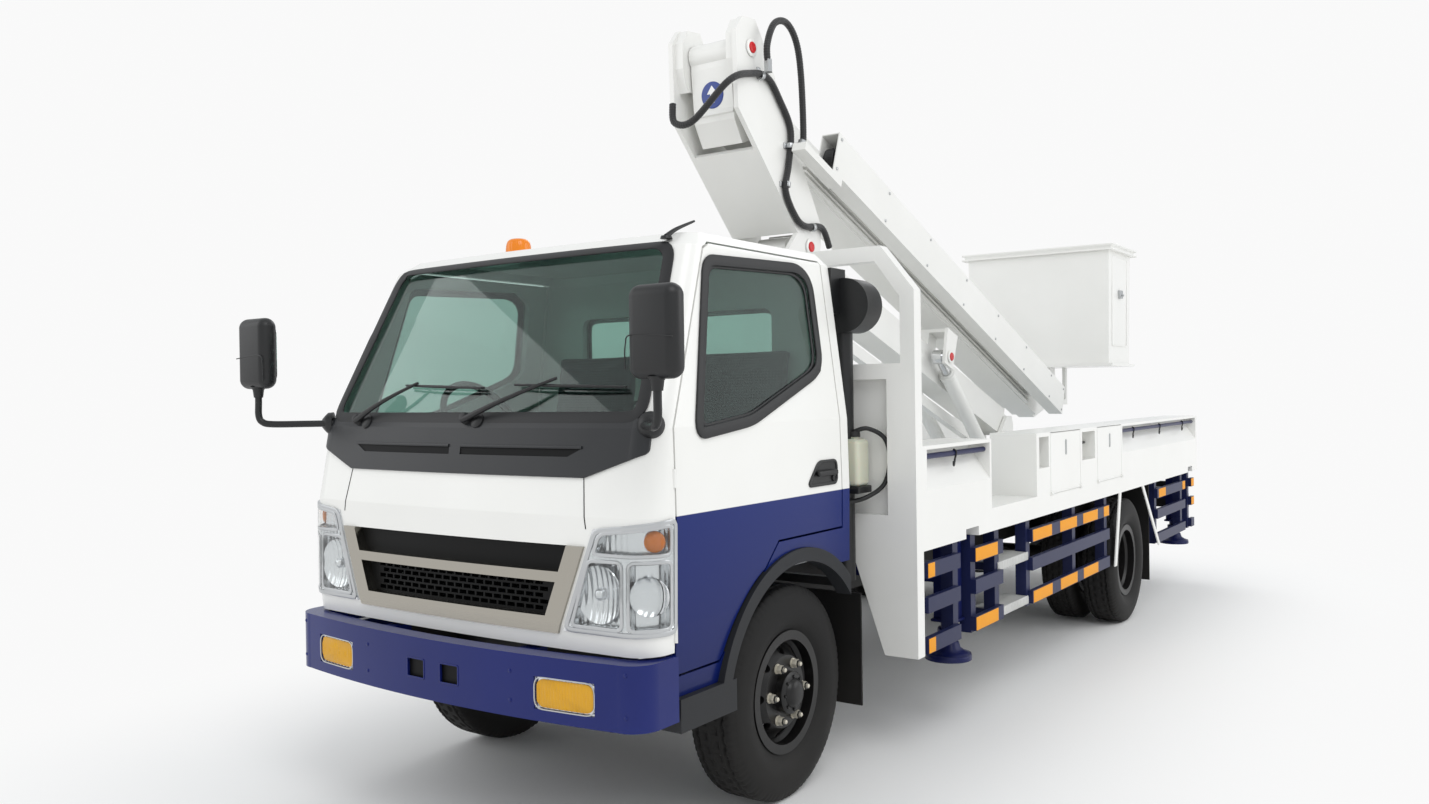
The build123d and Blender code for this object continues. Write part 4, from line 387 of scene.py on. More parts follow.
def piece(name, material, body, *parts, smooth=True, angle=40):
    """One object from (points, quads) pairs, that rides on a CAD body."""
    starts = np.cumsum([0] + [len(p) for p, _ in parts[:-1]])
    points = np.vstack([p for p, _ in parts])
    faces = np.vstack([q + s for (_, q), s in zip(parts, starts)])
    mesh = bpy.data.meshes.new(name)
    mesh.from_pydata(points.tolist(), [], faces.tolist())
    work = bmesh.new()
    work.from_mesh(mesh)
    bmesh.ops.remove_doubles(work, verts=work.verts, dist=1e-6)
    bmesh.ops.dissolve_degenerate(work, edges=work.edges, dist=1e-6)
    bmesh.ops.recalc_face_normals(work, faces=work.faces)
    work.to_mesh(mesh)
    work.free()
    mesh.materials.append(material)
    if smooth:
        mesh.shade_smooth()
        mesh.set_sharp_from_angle(angle=math.radians(angle))
    item = bpy.data.objects.new(name, mesh)
    bpy.context.scene.collection.objects.link(item)
    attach(item, body)
    return item


def turned(profile, centre, axis, steps=40, sides=0):
    """Each (along, radius) point of the profile turns about the axis; sides give a polygon."""
    axis = unit(axis)
    first = unit(np.cross(axis, (0, 0, 1) if abs(axis[2]) < 0.9 else (1, 0, 0)))
    second = np.cross(axis, first)
    turn = np.linspace(0, 2 * np.pi, steps, endpoint=False)
    factor = np.ones(steps)
    if sides:
        factor = np.cos(np.pi / sides) / np.cos(turn % (2 * np.pi / sides) - np.pi / sides)
    along, radius = np.array(profile, float).T
    ring = np.cos(turn)[:, None] * first + np.sin(turn)[:, None] * second
    grid = (np.array(centre, float) + along[None, :, None] * axis
            + (radius[None, :] * factor[:, None])[:, :, None] * ring[:, None, :])
    return grid.reshape(-1, 3), quads(steps, len(along), wrap_rows=True)


def block(low, high, radius, steps=24):
    """Rounded block: a ball of that radius whose eight parts move out to the corners."""
    low, high = np.minimum(low, high).astype(float), np.maximum(low, high).astype(float)
    radius = min(radius, float((high - low).min()) / 2)
    turn = (np.arange(steps) + 0.5) * 2 * np.pi / steps
    rise = np.linspace(-np.pi / 2, np.pi / 2, steps // 2)
    ball = np.stack([np.cos(rise)[:, None] * np.cos(turn), np.cos(rise)[:, None] * np.sin(turn),
                     np.sin(rise)[:, None] * np.ones(steps)], -1)
    signs = np.sign(np.stack([np.cos(turn) * np.ones((len(rise), 1)), np.sin(turn) * np.ones((len(rise), 1)),
                              np.sin(rise)[:, None] * np.ones(steps)], -1))
    middle = (low + high) / 2
    grid = middle + signs * ((high - low) / 2 - radius) + ball * radius
    ends = [np.tile([middle[0], middle[1], z], (1, steps, 1)) for z in (low[2], high[2])]
    grid = np.concatenate([ends[0], grid, ends[1]])
    return grid.reshape(-1, 3), quads(len(grid), steps, wrap_columns=True)


def smooth_line(points, count, closed=False):
    """Catmull-Rom curve: each stretch is a cubic through its ends, led by its neighbours."""
    p = np.asarray(points, float)
    stretches = len(p) if closed else len(p) - 1
    t = np.linspace(0, stretches, count, endpoint=not closed)
    i = np.minimum(t.astype(int), stretches - 1)
    f = (t - i)[:, None]
    a, b, c, d = (p[(i + k) % len(p)] if closed else p[np.clip(i + k, 0, len(p) - 1)]
                  for k in (-1, 0, 1, 2))
    return 0.5 * (2 * b + (c - a) * f + (2 * a - 5 * b + 4 * c - d) * f ** 2
                  + (3 * b - a - 3 * c + d) * f ** 3)


def rounded(points, radius, steps=7):
    """Closed outline with each corner turned into a short bow."""
    p = np.asarray(points, float)
    before = p + unit(np.roll(p, 1, 0) - p) * radius
    after = p + unit(np.roll(p, -1, 0) - p) * radius
    t = np.linspace(0, 1, steps)[None, :, None]
    bow = (1 - t) ** 2 * before[:, None] + 2 * t * (1 - t) * p[:, None] + t ** 2 * after[:, None]
    return bow.reshape(-1, p.shape[1])


def spread(points, count, closed=True):
    """The same line with its points an even distance apart."""
    p = np.vstack([points, points[:1]]) if closed else np.asarray(points, float)
    run = np.concatenate([[0], np.cumsum(np.linalg.norm(np.diff(p, axis=0), axis=1))])
    wanted = np.linspace(0, run[-1], count, endpoint=not closed)
    return np.stack([np.interp(wanted, run, p[:, k]) for k in range(p.shape[1])], -1)


def tube(path, radius, steps=14):
    """Round tube along a path. The ring's frame is carried on from point to point."""
    path = np.asarray(path, float)
    ahead = unit(np.gradient(path, axis=0))
    side = unit(np.cross(ahead[0], (0.31, 0.87, 0.38)))
    sides = []
    for direction in ahead:
        side = unit(side - direction * side.dot(direction))
        sides.append(side)
    sides = np.array(sides)
    others = np.cross(ahead, sides)
    turn = np.linspace(0, 2 * np.pi, steps, endpoint=False)
    size = np.broadcast_to(np.asarray(radius, float), (len(path),))[:, None, None]
    ring = np.cos(turn)[None, :, None] * sides[:, None] + np.sin(turn)[None, :, None] * others[:, None]
    grid = path[:, None] + ring * size
    grid = np.concatenate([np.tile(path[:1, None], (1, steps, 1)), grid, np.tile(path[-1:, None], (1, steps,
                                                            1))])
    return grid.reshape(-1, 3), quads(len(grid), steps, wrap_columns=True)


def band(path, outward, section, closed=True):
    """Section of (across, out) points swept along a line that lies on a surface."""
    path, outward = np.asarray(path, float), unit(outward)
    step = np.roll(path, -1, 0) - np.roll(path, 1, 0) if closed else np.gradient(path, axis=0)
    across = unit(np.cross(unit(step), outward))
    s = np.asarray(section, float)
    grid = path[:, None] + across[:, None] * s[None, :, :1] + outward[:, None] * s[None, :, 1:]
    if not closed:
        ends = [np.tile(grid[k].mean(0), (1, len(s), 1)) for k in (0, -1)]
        grid = np.concatenate([ends[0], grid, ends[1]])
    return grid.reshape(-1, 3), quads(len(grid), len(s), wrap_rows=closed, wrap_columns=True)


def bead(width, height, steps=12, sink=0.002):
    """Flattened oval section that sits on a surface and sinks a little way into it."""
    t = np.linspace(0, 2 * np.pi, steps, endpoint=False)
    power = 0.6
    return np.stack([width / 2 * np.sign(np.cos(t)) * np.abs(np.cos(t)) ** power,
                     (height + sink) / 2 * np.sign(np.sin(t)) * np.abs(np.sin(t)) ** power
                     + (height - sink) / 2], -1)


def pad(outline, place, thick, crown=0.0, rows=5, centre=None):
    """Patch inside an outline: rows shrink to its centre, placed by a surface function with
    an offset outwards. Its edge is thick high, and the middle rises by the crown."""
    outline = np.asarray(outline, float)
    middle = outline.mean(0) if centre is None else np.asarray(centre, float)
    shares = np.linspace(0, 1, rows)
    rise = crown * (1 - shares ** 2)
    flat = middle + shares[:, None, None] * (outline - middle)
    top = place(flat[..., 0], flat[..., 1], (thick + rise)[:, None] * np.ones(len(outline)))
    foot = place(flat[..., 0], flat[..., 1], np.zeros((rows, len(outline))))
    grid = np.concatenate([top, foot[::-1]])
    return grid.reshape(-1, 3), quads(len(grid), len(outline), wrap_columns=True)


print("grid of 3 by 4 points has", len(quads(3, 4)), "faces")

# %% [markdown]
# The cab's skin is known from seven sections between sill and roof. Each has a bowed nose, a
# round corner and a straight side. Rubbers, lamps and wipers sit on that skin, so one
# function gives a point on it from two numbers: the way round the section from the middle,
# and the height. The same idea serves the bumper.

# %% The cab's skin as a function
cab_table = np.array((
    (0.560, 0.905, 0.838, 0.026, 0.100),
    (0.790, 0.938, 0.850, 0.030, 0.110),
    (1.140, 0.934, 0.855, 0.032, 0.110),
    (1.420, 0.888, 0.848, 0.046, 0.095),
    (2.035, 0.578, 0.768, 0.032, 0.062),
    (2.086, 0.500, 0.722, 0.028, 0.060),
    (2.108, 0.350, 0.600, 0.026, 0.060),
))


def cab_skin(way, height, out):
    """Point on the cab's skin: way runs from the middle over the nose, round the corner and
    back along the side; out lifts it off the skin. Negative ways are the right side."""
    way, height, out = np.broadcast_arrays(*(np.asarray(v, float) for v in (way, height, out)))
    nose, half, bow, turn = (np.interp(height, cab_table[:, 0], cab_table[:, k]) for k in (1, 2, 3, 4))
    side, s = np.sign(way), np.abs(way)
    flat = half - turn
    flank = front_axle + nose - bow
    angle = np.clip((s - flat) / turn, 0, np.pi / 2)
    back = np.maximum(s - flat - turn * np.pi / 2, 0)
    on_bow = s < flat
    x = np.where(on_bow, flank + bow * (1 - (s / flat) ** 2), flank - turn + turn * np.cos(angle) - back)
    y = np.where(on_bow, s, flat + turn * np.sin(angle))
    lean = np.where(on_bow, np.arctan(2 * bow * s / flat ** 2), angle)
    return np.stack([x + np.cos(lean) * out, side * (y + np.sin(lean) * out), height], -1)


def skin_normal(way, height):
    """Outward direction of the cab's skin."""
    base = cab_skin(way, height, 0.0)
    over = cab_skin(way, np.asarray(height) + 0.01, 0.0) - base
    round_ = cab_skin(np.asarray(way) + 0.001, height, 0.0) - base
    return unit(np.cross(round_, over))


def side_skin(side):
    """Function for one flat side of the cab: along X, by height, and outwards."""
    def place(x, height, out):
        half = np.interp(height, cab_table[:, 0], cab_table[:, 2])
        return np.stack([x, side * (half + out), height + 0 * x], -1)
    return place


print("nose over the lamps at", np.round(cab_skin(0.0, 1.0, 0.0), 3))

# %% [markdown]
# ## Tyres
# The tyres are road tyres, 0.8 m across, with a ribbed tread: four zigzag grooves run round
# them. The section is a smooth curve through the bead, the flank, the shoulder and the crown.
# The grooves are a function of the angle and of the place across the tread, so tread and
# flank are one grid. Two thin rings mark the flank, where a real one has its raised edges;
# no words are set on it. Cutting grooves as solids would be slower and no better to look at.

# %% Tyres with a ribbed tread
half_section = ((0.0745, 0.2042), (0.0770, 0.2290), (0.0950, 0.2560), (0.1062, 0.2960), (0.1040, 0.3380),
                (0.0955, 0.3700), (0.0830, 0.3930), (0.0690, 0.4000), (0.0350, 0.4012))
groove_places = (-0.0540, -0.0185, 0.0185, 0.0540)
groove_width = 0.0085
groove_depth = 0.010
zigzag_reach = 0.0045
zigzag_count = 46


def tyre(axle_x, centre_y, steps=276, across=84):
    """Radius over angle and width: the section curve, less a groove where the place across
    the tread is near one of the zigzag lines, plus two thin rings on the flank."""
    half = np.array(half_section)
    outline = smooth_line(np.vstack([half, (half * (-1, 1))[::-1]]), across)
    turn = np.linspace(0, 2 * np.pi, steps, endpoint=False)[:, None]
    y, r = np.broadcast_arrays(outline[None, :, 0], outline[None, :, 1])
    y, r = np.tile(y, (steps, 1)), np.tile(r, (steps, 1))
    wave = 2 * np.abs((turn * zigzag_count / (2 * np.pi)) % 1 - 0.5) * 2 - 1
    for place in groove_places:
        near = np.abs(y - place - wave * zigzag_reach) < groove_width / 2
        r = r - groove_depth * (near & (r > 0.397))
    sipe = (np.abs(y) > 0.066) & (r > 0.372) & ((turn * 92 / (2 * np.pi)) % 1 < 0.3)
    r = r - 0.004 * sipe
    for ring in (0.262, 0.352):
        swell = np.exp(-((r - ring) / 0.0022) ** 2)
        y = y + np.sign(y) * 0.0012 * swell * (r < 0.38)
    grid = np.stack([axle_x + r * np.cos(turn), centre_y + y, wheel_height + r * np.sin(turn)], -1)
    return grid.reshape(-1, 3), quads(steps, across, wrap_rows=True, wrap_columns=True)


for side_name, side in (("left", 1), ("right", -1)):
    front_tyre = piece(f"tread_front_{side_name}", tyre_rubber, f"front_wheel_{side_name}",
                       tyre(front_axle, side * 0.71), angle=32)
    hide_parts(f"tyre_front_{side_name}")
    rear_tyres = piece(f"tread_rear_{side_name}", tyre_rubber, f"rear_wheels_{side_name}",
                       tyre(rear_axle, side * 0.93), tyre(rear_axle, side * 0.67), angle=32)
    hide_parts(f"tyres_rear_{side_name}")
print("tyre faces", len(front_tyre.data.polygons))

# %% [markdown]
# Six nuts hold each wheel. They are zinc plated and paler than the black wheel, each with a
# chamfered hexagon, a washer and the end of its stud. In front a pressed cap covers the hub,
# and the rear hub carries a flange with bolts. Each nut is one turned profile whose radius
# follows a hexagon.

# %% Wheel nuts and hubs
nut_plating = grained("pale_zinc_nut", "#D9D4C6", "#B9B3A3", 0.4, 0.003, 0.15, metallic=0.35, dust=0.03)
stud_ring = 0.2222 / 2


def nut(centre, side, size=0.0165):
    """Washer, chamfered hexagon and the domed end of the stud, turned about the wheel's axis."""
    washer = ((0, 0), (0, size * 1.18), (0.004, size * 1.12), (0.004, 0))
    hexagon = ((0.004, 0), (0.004, size), (0.023, size), (0.027, size * 0.82), (0.027, 0))
    stud = ((0.027, 0), (0.027, size * 0.52), (0.037, size * 0.50), (0.040, size * 0.3), (0.041, 0))
    return (turned(washer, centre, (0, side, 0), 24), turned(hexagon, centre, (0, side, 0), 24, 6),
            turned(stud, centre, (0, side, 0), 16))


hub_cap = ((0.0, 0.0), (0.0, 0.0795), (0.006, 0.079), (0.010, 0.074), (0.013, 0.056), (0.024, 0.050),
           (0.032, 0.041), (0.036, 0.024), (0.037, 0.0))
hub_flange = ((0.0, 0.0), (0.0, 0.080), (0.060, 0.0795), (0.064, 0.076), (0.066, 0.052), (0.074, 0.048),
              (0.078, 0.030), (0.079, 0.0))
for side_name, side in (("left", 1), ("right", -1)):
    wheels = ((f"front_wheel_{side_name}", front_axle, side * (0.71 + 0.071), hub_cap, 0.026),
              (f"rear_wheels_{side_name}", rear_axle, side * (0.93 - 0.117), hub_flange, 0.0))
    for body, x, face, cap, lift in wheels:
        angles = np.arange(6) * np.pi / 3
        nuts = [part for a in angles
                for part in nut((x + stud_ring * np.cos(a), face + side * 0.001,
                                 wheel_height + stud_ring * np.sin(a)), side)]
        piece(f"nuts_{body}", nut_plating, body, *nuts)
        start = face + side * lift
        bolts = [turned(((0.0, 0.0), (0.0, 0.006), (0.006, 0.006), (0.008, 0.004), (0.008, 0.0)),
                        (x + 0.062 * np.cos(a), start + side * (0.062 if lift == 0 else 0.010),
                         wheel_height + 0.062 * np.sin(a)), (0, side, 0), 12, 6)
                 for a in np.arange(8) * np.pi / 4]
        piece(f"hub_{body}", wheel_enamel, body, turned(cap, (x, start, wheel_height), (0, side, 0), 56),
              *bolts)
print("wheels have their nuts and hubs")

# %% [markdown]
# ## Rubber round the windows
# A cab window sits in an extruded rubber: about 35 mm wide, with a soft round back. Its line
# is the outline of the opening with rounded corners, laid on the cab's skin. A section swept
# along that line is how the real one is made too. The windscreen's lower run is hidden by the
# black panel.

# %% Window rubbers
screen = rounded(((-0.772, 1.452), (0.772, 1.452), (0.690, 2.034), (-0.690, 2.034)), 0.06)
screen = spread(screen, 260)
piece("windscreen_rubber", seal_rubber, "truck",
      band(cab_skin(screen[:, 0], screen[:, 1], 0.0), skin_normal(screen[:, 0], screen[:, 1]), bead(0.044,
                                                            0.008)))
window_points = ((0.632, 1.392), (0.470, 1.984), (-0.150, 2.006), (-0.226, 1.960), (-0.226, 1.640),
                 (-0.180, 1.598), (0.300, 1.430))
for side_name, side in (("left", 1), ("right", -1)):
    window = spread(rounded(np.array(window_points) + (front_axle, 0), 0.05), 200)
    place = side_skin(side)
    lean = np.tile((0.0, side, 0.12), (len(window), 1))
    outer = band(place(window[:, 0], window[:, 1], 0.0), lean, bead(0.040, 0.009))
    middle = window.mean(0)
    inner_line = middle + (window - middle) * 0.93
    inner = band(place(inner_line[:, 0], inner_line[:, 1], -0.008), lean, bead(0.018, 0.006))
    piece(f"window_rubber_{side_name}", seal_rubber, f"door_{side_name}", outer, inner)
rear_pane = rounded(((-0.52, 1.48), (0.52, 1.48), (0.52, 1.88), (-0.52, 1.88)), 0.06)
rear_pane = spread(rear_pane, 160)
rear_line = np.stack([np.full(len(rear_pane), front_axle - 0.395), rear_pane[:, 0], rear_pane[:, 1]], -1)
piece("rear_window_rubber", seal_rubber, "truck",
      band(rear_line, np.tile((-1.0, 0, 0), (len(rear_line), 1)), bead(0.036, 0.007)))
print("rubbers follow", len(screen), "points round the windscreen")

# %% [markdown]
# The black panel has two long vents pressed into it. Each shows a shaded hollow under a rounded
# upper lip. The hollow's shade is painted as a thin dark patch in the groove, and the lip is a
# swept bead. Behind the grille stands the radiator, whose fins close the view through the mesh.

# %% Vents and radiator
vent_shape = ((0.028, 1.328), (0.515, 1.328), (0.572, 1.356), (0.028, 1.356))
for side_name, side in (("left", 1), ("right", -1)):
    vent = spread(rounded(vent_shape, 0.010), 160)
    # painted shade: a near-black patch on the panel stands for the shade in each vent's groove
    vent_painted_shade = pad(vent * (side, 1), lambda a, b, c: cab_skin(a, b, c + 0.0032), 0.0012, rows=6)
    piece(f"vent_{side_name}", mesh_plastic, "truck", vent_painted_shade)
    lip = np.stack([np.linspace(0.030, 0.570, 60), np.full(60, 1.358)], -1)
    lip_band = band(cab_skin(side * lip[:, 0], lip[:, 1], 0.0068), skin_normal(side * lip[:, 0], lip[:, 1]),
                    bead(0.010, 0.005), closed=False)
    piece(f"vent_lip_{side_name}", panel_plastic, "truck", lip_band)
fin_count = 150
across = np.linspace(-0.60, 0.60, fin_count * 4)[:, None]
fin_depth = 0.006 * (0.5 + 0.5 * np.sign(np.sin(np.arange(fin_count * 4) * np.pi / 2)))[:, None]
core = np.array(((3.105, 0.748), (3.150, 0.748), (3.150, 0.965), (3.105, 0.965)))
core_grid = np.stack([core[None, :, 0] + fin_depth * (core[None, :, 0] > 3.14), across + 0 * core[None, :, 0],
                      core[None, :, 1] + 0 * across], -1)
core_ends = [np.tile(core_grid[k].mean(0), (1, 4, 1)) for k in (0, -1)]
core_grid = np.concatenate([core_ends[0], core_grid, core_ends[1]])
piece("radiator", mesh_plastic, "truck", (core_grid.reshape(-1, 3), quads(len(core_grid), 4,
                                                            wrap_columns=True)),
      smooth=False)
print("vents and radiator fitted")

# %% [markdown]
# Two wipers are parked along the foot of the windscreen. Each has a cast arm that tapers from
# its spindle, and a blade with a steel back and a rubber lip. The arm is a tube whose radius
# falls along it; the blade's back is a thin flat band, and its lip is a second one below.

# %% Wipers
wiper_places = (
    ((-0.585, 1.441), (-0.281, 1.581), (-0.360, 1.573), (0.063, 1.557)),
    ((0.037, 1.447), (0.405, 1.586), (0.217, 1.566), (0.683, 1.551)),
)
for number, (spindle, tip, blade_start, blade_end) in enumerate(wiper_places):
    t = np.linspace(0, 1, 24)
    arm = np.array(spindle) + t[:, None] * (np.array(tip) - spindle)
    lift = 0.026 + 0.020 * np.sin(np.pi * t)
    arm_tube = tube(cab_skin(arm[:, 0], arm[:, 1], lift), 0.011 - 0.006 * t)
    blade = np.array(blade_start) + t[:, None] * (np.array(blade_end) - blade_start)
    back = tube(cab_skin(blade[:, 0], blade[:, 1], 0.016 + 0.006 * np.sin(np.pi * t)),
                0.0058 - 0.002 * np.abs(2 * t - 1))
    lip = tube(cab_skin(blade[:, 0], blade[:, 1], 0.0035), 0.0042)
    knob = turned(((-0.004, 0), (-0.004, 0.021), (0.018, 0.020), (0.030, 0.014), (0.034, 0)),
                  cab_skin(spindle[0], spindle[1], 0.004), skin_normal(spindle[0], spindle[1]), 28)
    foot = turned(((-0.004, 0), (-0.004, 0.028), (0.006, 0.027), (0.012, 0.018), (0.013, 0)),
                  cab_skin(spindle[0] + 0.055, spindle[1] - 0.004, 0.006), skin_normal(spindle[0],
                                                            spindle[1]), 28)
    piece(f"wiper_{number}", black_plastic, "truck", arm_tube, back, lip, knob, foot)
print("wipers parked")

# %% [markdown]
# ## Head lamps
# Each lamp wraps round the corner of the cab and has three cells: a signal band above and two
# beams below. Silver frames divide them. A clear moulded lens covers the whole, and an amber
# bulb stands in the signal band near the corner. Every cell gets a pressed bowl, turned like
# a shallow dish. The lens is a patch on the cab's skin, a few millimetres thick.

# %% Head lamps
silver_frame = grained("silver_lamp_frame", "#C9CBCC", "#B4B6B8", 0.3, 0.004, 0.04, metallic=0.6, dust=0.04)
lamp_cells = (
    ((0.642, 1.024), (0.915, 1.024), (0.915, 1.118), (0.668, 1.090)),
    ((0.556, 0.792), (0.752, 0.792), (0.752, 1.004), (0.622, 1.004)),
    ((0.774, 0.792), (0.915, 0.792), (0.915, 1.004), (0.774, 1.004)),
)
lamp_edge = ((0.530, 0.779), (0.938, 0.779), (0.938, 1.130), (0.650, 1.098))
lamp_inside = ((0.545, 0.788), (0.930, 0.788), (0.930, 1.122), (0.655, 1.092))
for side_name, side in (("left", 1), ("right", -1)):
    rims = []
    for outline, width in [(c, 0.013) for c in lamp_cells] + [(lamp_edge, 0.017)]:
        line = spread(rounded(outline, 0.022), 120)
        rims.append(band(cab_skin(side * line[:, 0], line[:, 1], 0.0045), skin_normal(side * line[:, 0],
                                                            line[:, 1]),
                         bead(width, 0.005)))
    piece(f"lamp_rims_{side_name}", silver_frame, "truck", *rims)
    cover = spread(rounded(lamp_inside, 0.02), 120)
    piece(f"lamp_lens_{side_name}", lens_glass, "truck",
          pad(cover * (side, 1), lambda a, b, c: cab_skin(a, b, c + 0.0048), 0.0028, crown=0.002, rows=14))
    dish = ((0.0, 0.0), (0.0015, 0.030), (0.005, 0.055), (0.011, 0.078), (0.018, 0.092), (0.015, 0.095),
            (-0.003, 0.060), (-0.005, 0.0))
    small_dish = tuple((a, r * 0.66) for a, r in dish)
    bowls = [turned(dish, cab_skin(side * 0.660, 0.897, -0.020), (1, 0, 0), 40),
             turned(small_dish, cab_skin(side * 0.845, 0.897, -0.020), (0.8, side * 0.6, 0), 36)]
    bulb = ((0.0, 0.0), (0.0, 0.020), (0.012, 0.019), (0.020, 0.012), (0.023, 0.0))
    piece(f"lamp_bowls_{side_name}", silver_bowl, "truck", *bowls,
          turned(bulb, cab_skin(side * 0.660, 0.897, -0.018), (1, 0, 0), 24))
    signal = ((-0.004, 0.0), (-0.004, 0.034), (0.008, 0.033), (0.017, 0.024), (0.020, 0.0))
    piece(f"signal_bulb_{side_name}", amber_plastic, "truck",
          turned(signal, cab_skin(side * 0.865, 1.066, -0.019), (0.75, side * 0.66, 0), 32))
print("lamps dressed")

# %% [markdown]
# The fog lamps sit in pockets of the bumper: a ribbed amber lens in a thin pale frame. The
# bumper's face is bowed like the nose, so a second surface function serves lens and frame.
# Small bolts hold the bumper, and its two square holes have a folded edge.

# %% Fog lamps and bumper bolts
def bumper_skin(y, height, out):
    """Point on the bowed face of the bumper."""
    y, height, out = np.broadcast_arrays(*(np.asarray(v, float) for v in (y, height, out)))
    flat = 0.862 - 0.092
    turn = np.clip((np.abs(y) - flat) / 0.092, 0, 1)
    bowed = front_axle + 1.024 - 0.062 * (np.minimum(np.abs(y), flat) / flat) ** 2
    return np.stack([bowed - 0.092 * (1 - np.sqrt(1 - turn ** 2)) + out, y, height], -1)


for side_name, side in (("left", 1), ("right", -1)):
    fog = rounded(((0.466, 0.537), (0.682, 0.537), (0.682, 0.627), (0.466, 0.627)), 0.03)
    fog = spread(fog, 96)
    lens_points, lens_faces = pad(fog * (side, 1), lambda a, b, c: bumper_skin(a, b, c - 0.008), 0.003,
                                  crown=0.006, rows=40)
    lens_points[:, 0] += 0.0012 * np.cos(lens_points[:, 1] * 2 * np.pi / 0.012)
    piece(f"fog_lens_{side_name}", fog_plastic, "truck", (lens_points, lens_faces))
    frame_line = spread(rounded(((0.459, 0.531), (0.689, 0.531), (0.689, 0.633), (0.459, 0.633)), 0.034), 120)
    piece(f"fog_frame_{side_name}", silver_frame, "truck",
          band(bumper_skin(side * frame_line[:, 0], frame_line[:, 1], -0.001),
               np.tile((1.0, 0, 0), (len(frame_line), 1)), bead(0.004, 0.002)))
    hole = spread(rounded(((0.040, 0.561), (0.128, 0.561), (0.128, 0.627), (0.040, 0.627)), 0.006), 80)
    piece(f"hole_edge_{side_name}", bumper_enamel, "truck",
          band(bumper_skin(side * hole[:, 0], hole[:, 1], 0.0), np.tile((1.0, 0, 0), (len(hole), 1)),
               bead(0.006, 0.002)))
    shade = pad(hole * (side, 1), lambda a, b, c: bumper_skin(a, b, c - 0.012), 0.001, rows=4)
    piece(f"hole_shade_{side_name}", mesh_plastic, "truck", shade)
    button = ((-0.002, 0), (-0.002, 0.007), (0.0015, 0.0065), (0.003, 0.004), (0.0035, 0))
    piece(f"bumper_bolts_{side_name}", bumper_enamel, "truck",
          *[turned(button, bumper_skin(side * y, z, 0.0), (1, 0, 0), 20)
            for y, z in ((0.36, 0.640), (0.36, 0.545), (0.80, 0.670), (0.80, 0.540))])
print("bumper dressed")

# %% [markdown]
# ## Doors and mirrors
# A door has a black handle in a shallow cup with a slanted front corner, and a lock beside
# it. The cup's edge is a swept bead and its ground a thin patch; the grip is a rounded bar.
# Each mirror has silvered glass that faces the driver, and a rounded boot where its arm meets
# the black panel.

# %% Handles, seams and mirrors
for side_name, side in (("left", 1), ("right", -1)):
    place = side_skin(side)
    cup = np.array(((-0.066, 1.170), (-0.290, 1.170), (-0.290, 1.258), (-0.150, 1.258))) + (front_axle, 0)
    cup = spread(rounded(cup, 0.026), 110)
    ring = band(place(cup[:, 0], cup[:, 1], 0.0), np.tile((0.0, side, 0), (len(cup), 1)), bead(0.012, 0.006))
    ground = pad(cup, place, 0.002, crown=-0.001, rows=6)
    grip = block((front_axle - 0.275, side * 0.858, 1.203), (front_axle - 0.125, side * 0.874, 1.224), 0.007)
    lock = turned(((0.0, 0), (0.0, 0.013), (0.004, 0.012), (0.005, 0.009), (0.003, 0.008), (0.003, 0)),
                  (front_axle - 0.262, side * 0.857, 1.190), (0, side, 0), 24)
    piece(f"door_handle_{side_name}", black_plastic, f"door_{side_name}", ring, ground, grip, lock)
    t = np.linspace(0, 1, 40)
    seam_way = 0.586 + 0.024 * t
    seam_height = 1.262 - 0.160 * t
    piece(f"nose_seam_{side_name}", sheet_rubber, "truck",
          tube(cab_skin(side * seam_way, seam_height, -0.0004), 0.0022, 8))
    head = block((front_axle + 0.984, side * 0.902, 1.570), (front_axle + 1.060, side * 1.082, 1.846),
                 0.037, 40)
    arm = ((0.828, 0.780, 1.430), (0.900, 0.860, 1.430), (0.990, 0.950, 1.431), (1.014, 0.980, 1.440),
           (1.022, 0.992, 1.465), (1.022, 0.992, 1.520), (1.022, 0.992, 1.585))
    stalk = tube(smooth_line(np.array(arm) * (1, side, 1) + (front_axle, 0, 0), 70), 0.013, 20)
    seam = np.array(((1.078, 1.690), (0.930, 1.700), (0.905, 1.670), (0.903, 1.600)))
    seam = smooth_line(seam, 60)
    front_of_mirror = np.stack([np.full(len(seam), front_axle + 1.0598), side * seam[:, 0], seam[:, 1]], -1)
    boot = turned(((-0.012, 0), (-0.012, 0.044), (0.008, 0.042), (0.020, 0.030), (0.030, 0.018), (0.032, 0)),
                  cab_skin(side * 0.812, 1.430, 0.007), (0.68, side * 0.73, 0), 36)
    collar = turned(((-0.03, 0.0), (-0.03, 0.017), (0.0, 0.021), (0.012, 0.030), (0.016, 0.0)),
                    (front_axle + 1.022, side * 0.992, 1.566), (0, 0, 1), 32)
    piece(f"mirror_{side_name}", black_plastic, "truck", head, stalk, boot, collar,
          band(front_of_mirror, np.tile((1.0, 0, 0), (len(seam), 1)), bead(0.004, 0.0012), closed=False))
    glass = rounded(((0.925, 1.600), (1.059, 1.600), (1.059, 1.816), (0.925, 1.816)), 0.03)

    def behind_mirror(y, height, out):
        """Plane behind the mirror's head; out points back to the driver."""
        return np.stack([front_axle + 0.984 - out, side * y, height + 0 * y], -1)

    mirror_glass = piece(f"mirror_glass_{side_name}", rod_chrome, "truck",
                         pad(spread(glass, 80), behind_mirror, 0.0015, 0.001))
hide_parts("mirrors")
print("doors and mirrors dressed")

# %% [markdown]
# The amber beacon on the right of the roof has a smooth moulded dome on a black base. A short
# aerial leans back near the left edge of the roof. The dome is a turned profile with a soft
# shoulder; a ripple round it stands for the flutes of the lens.

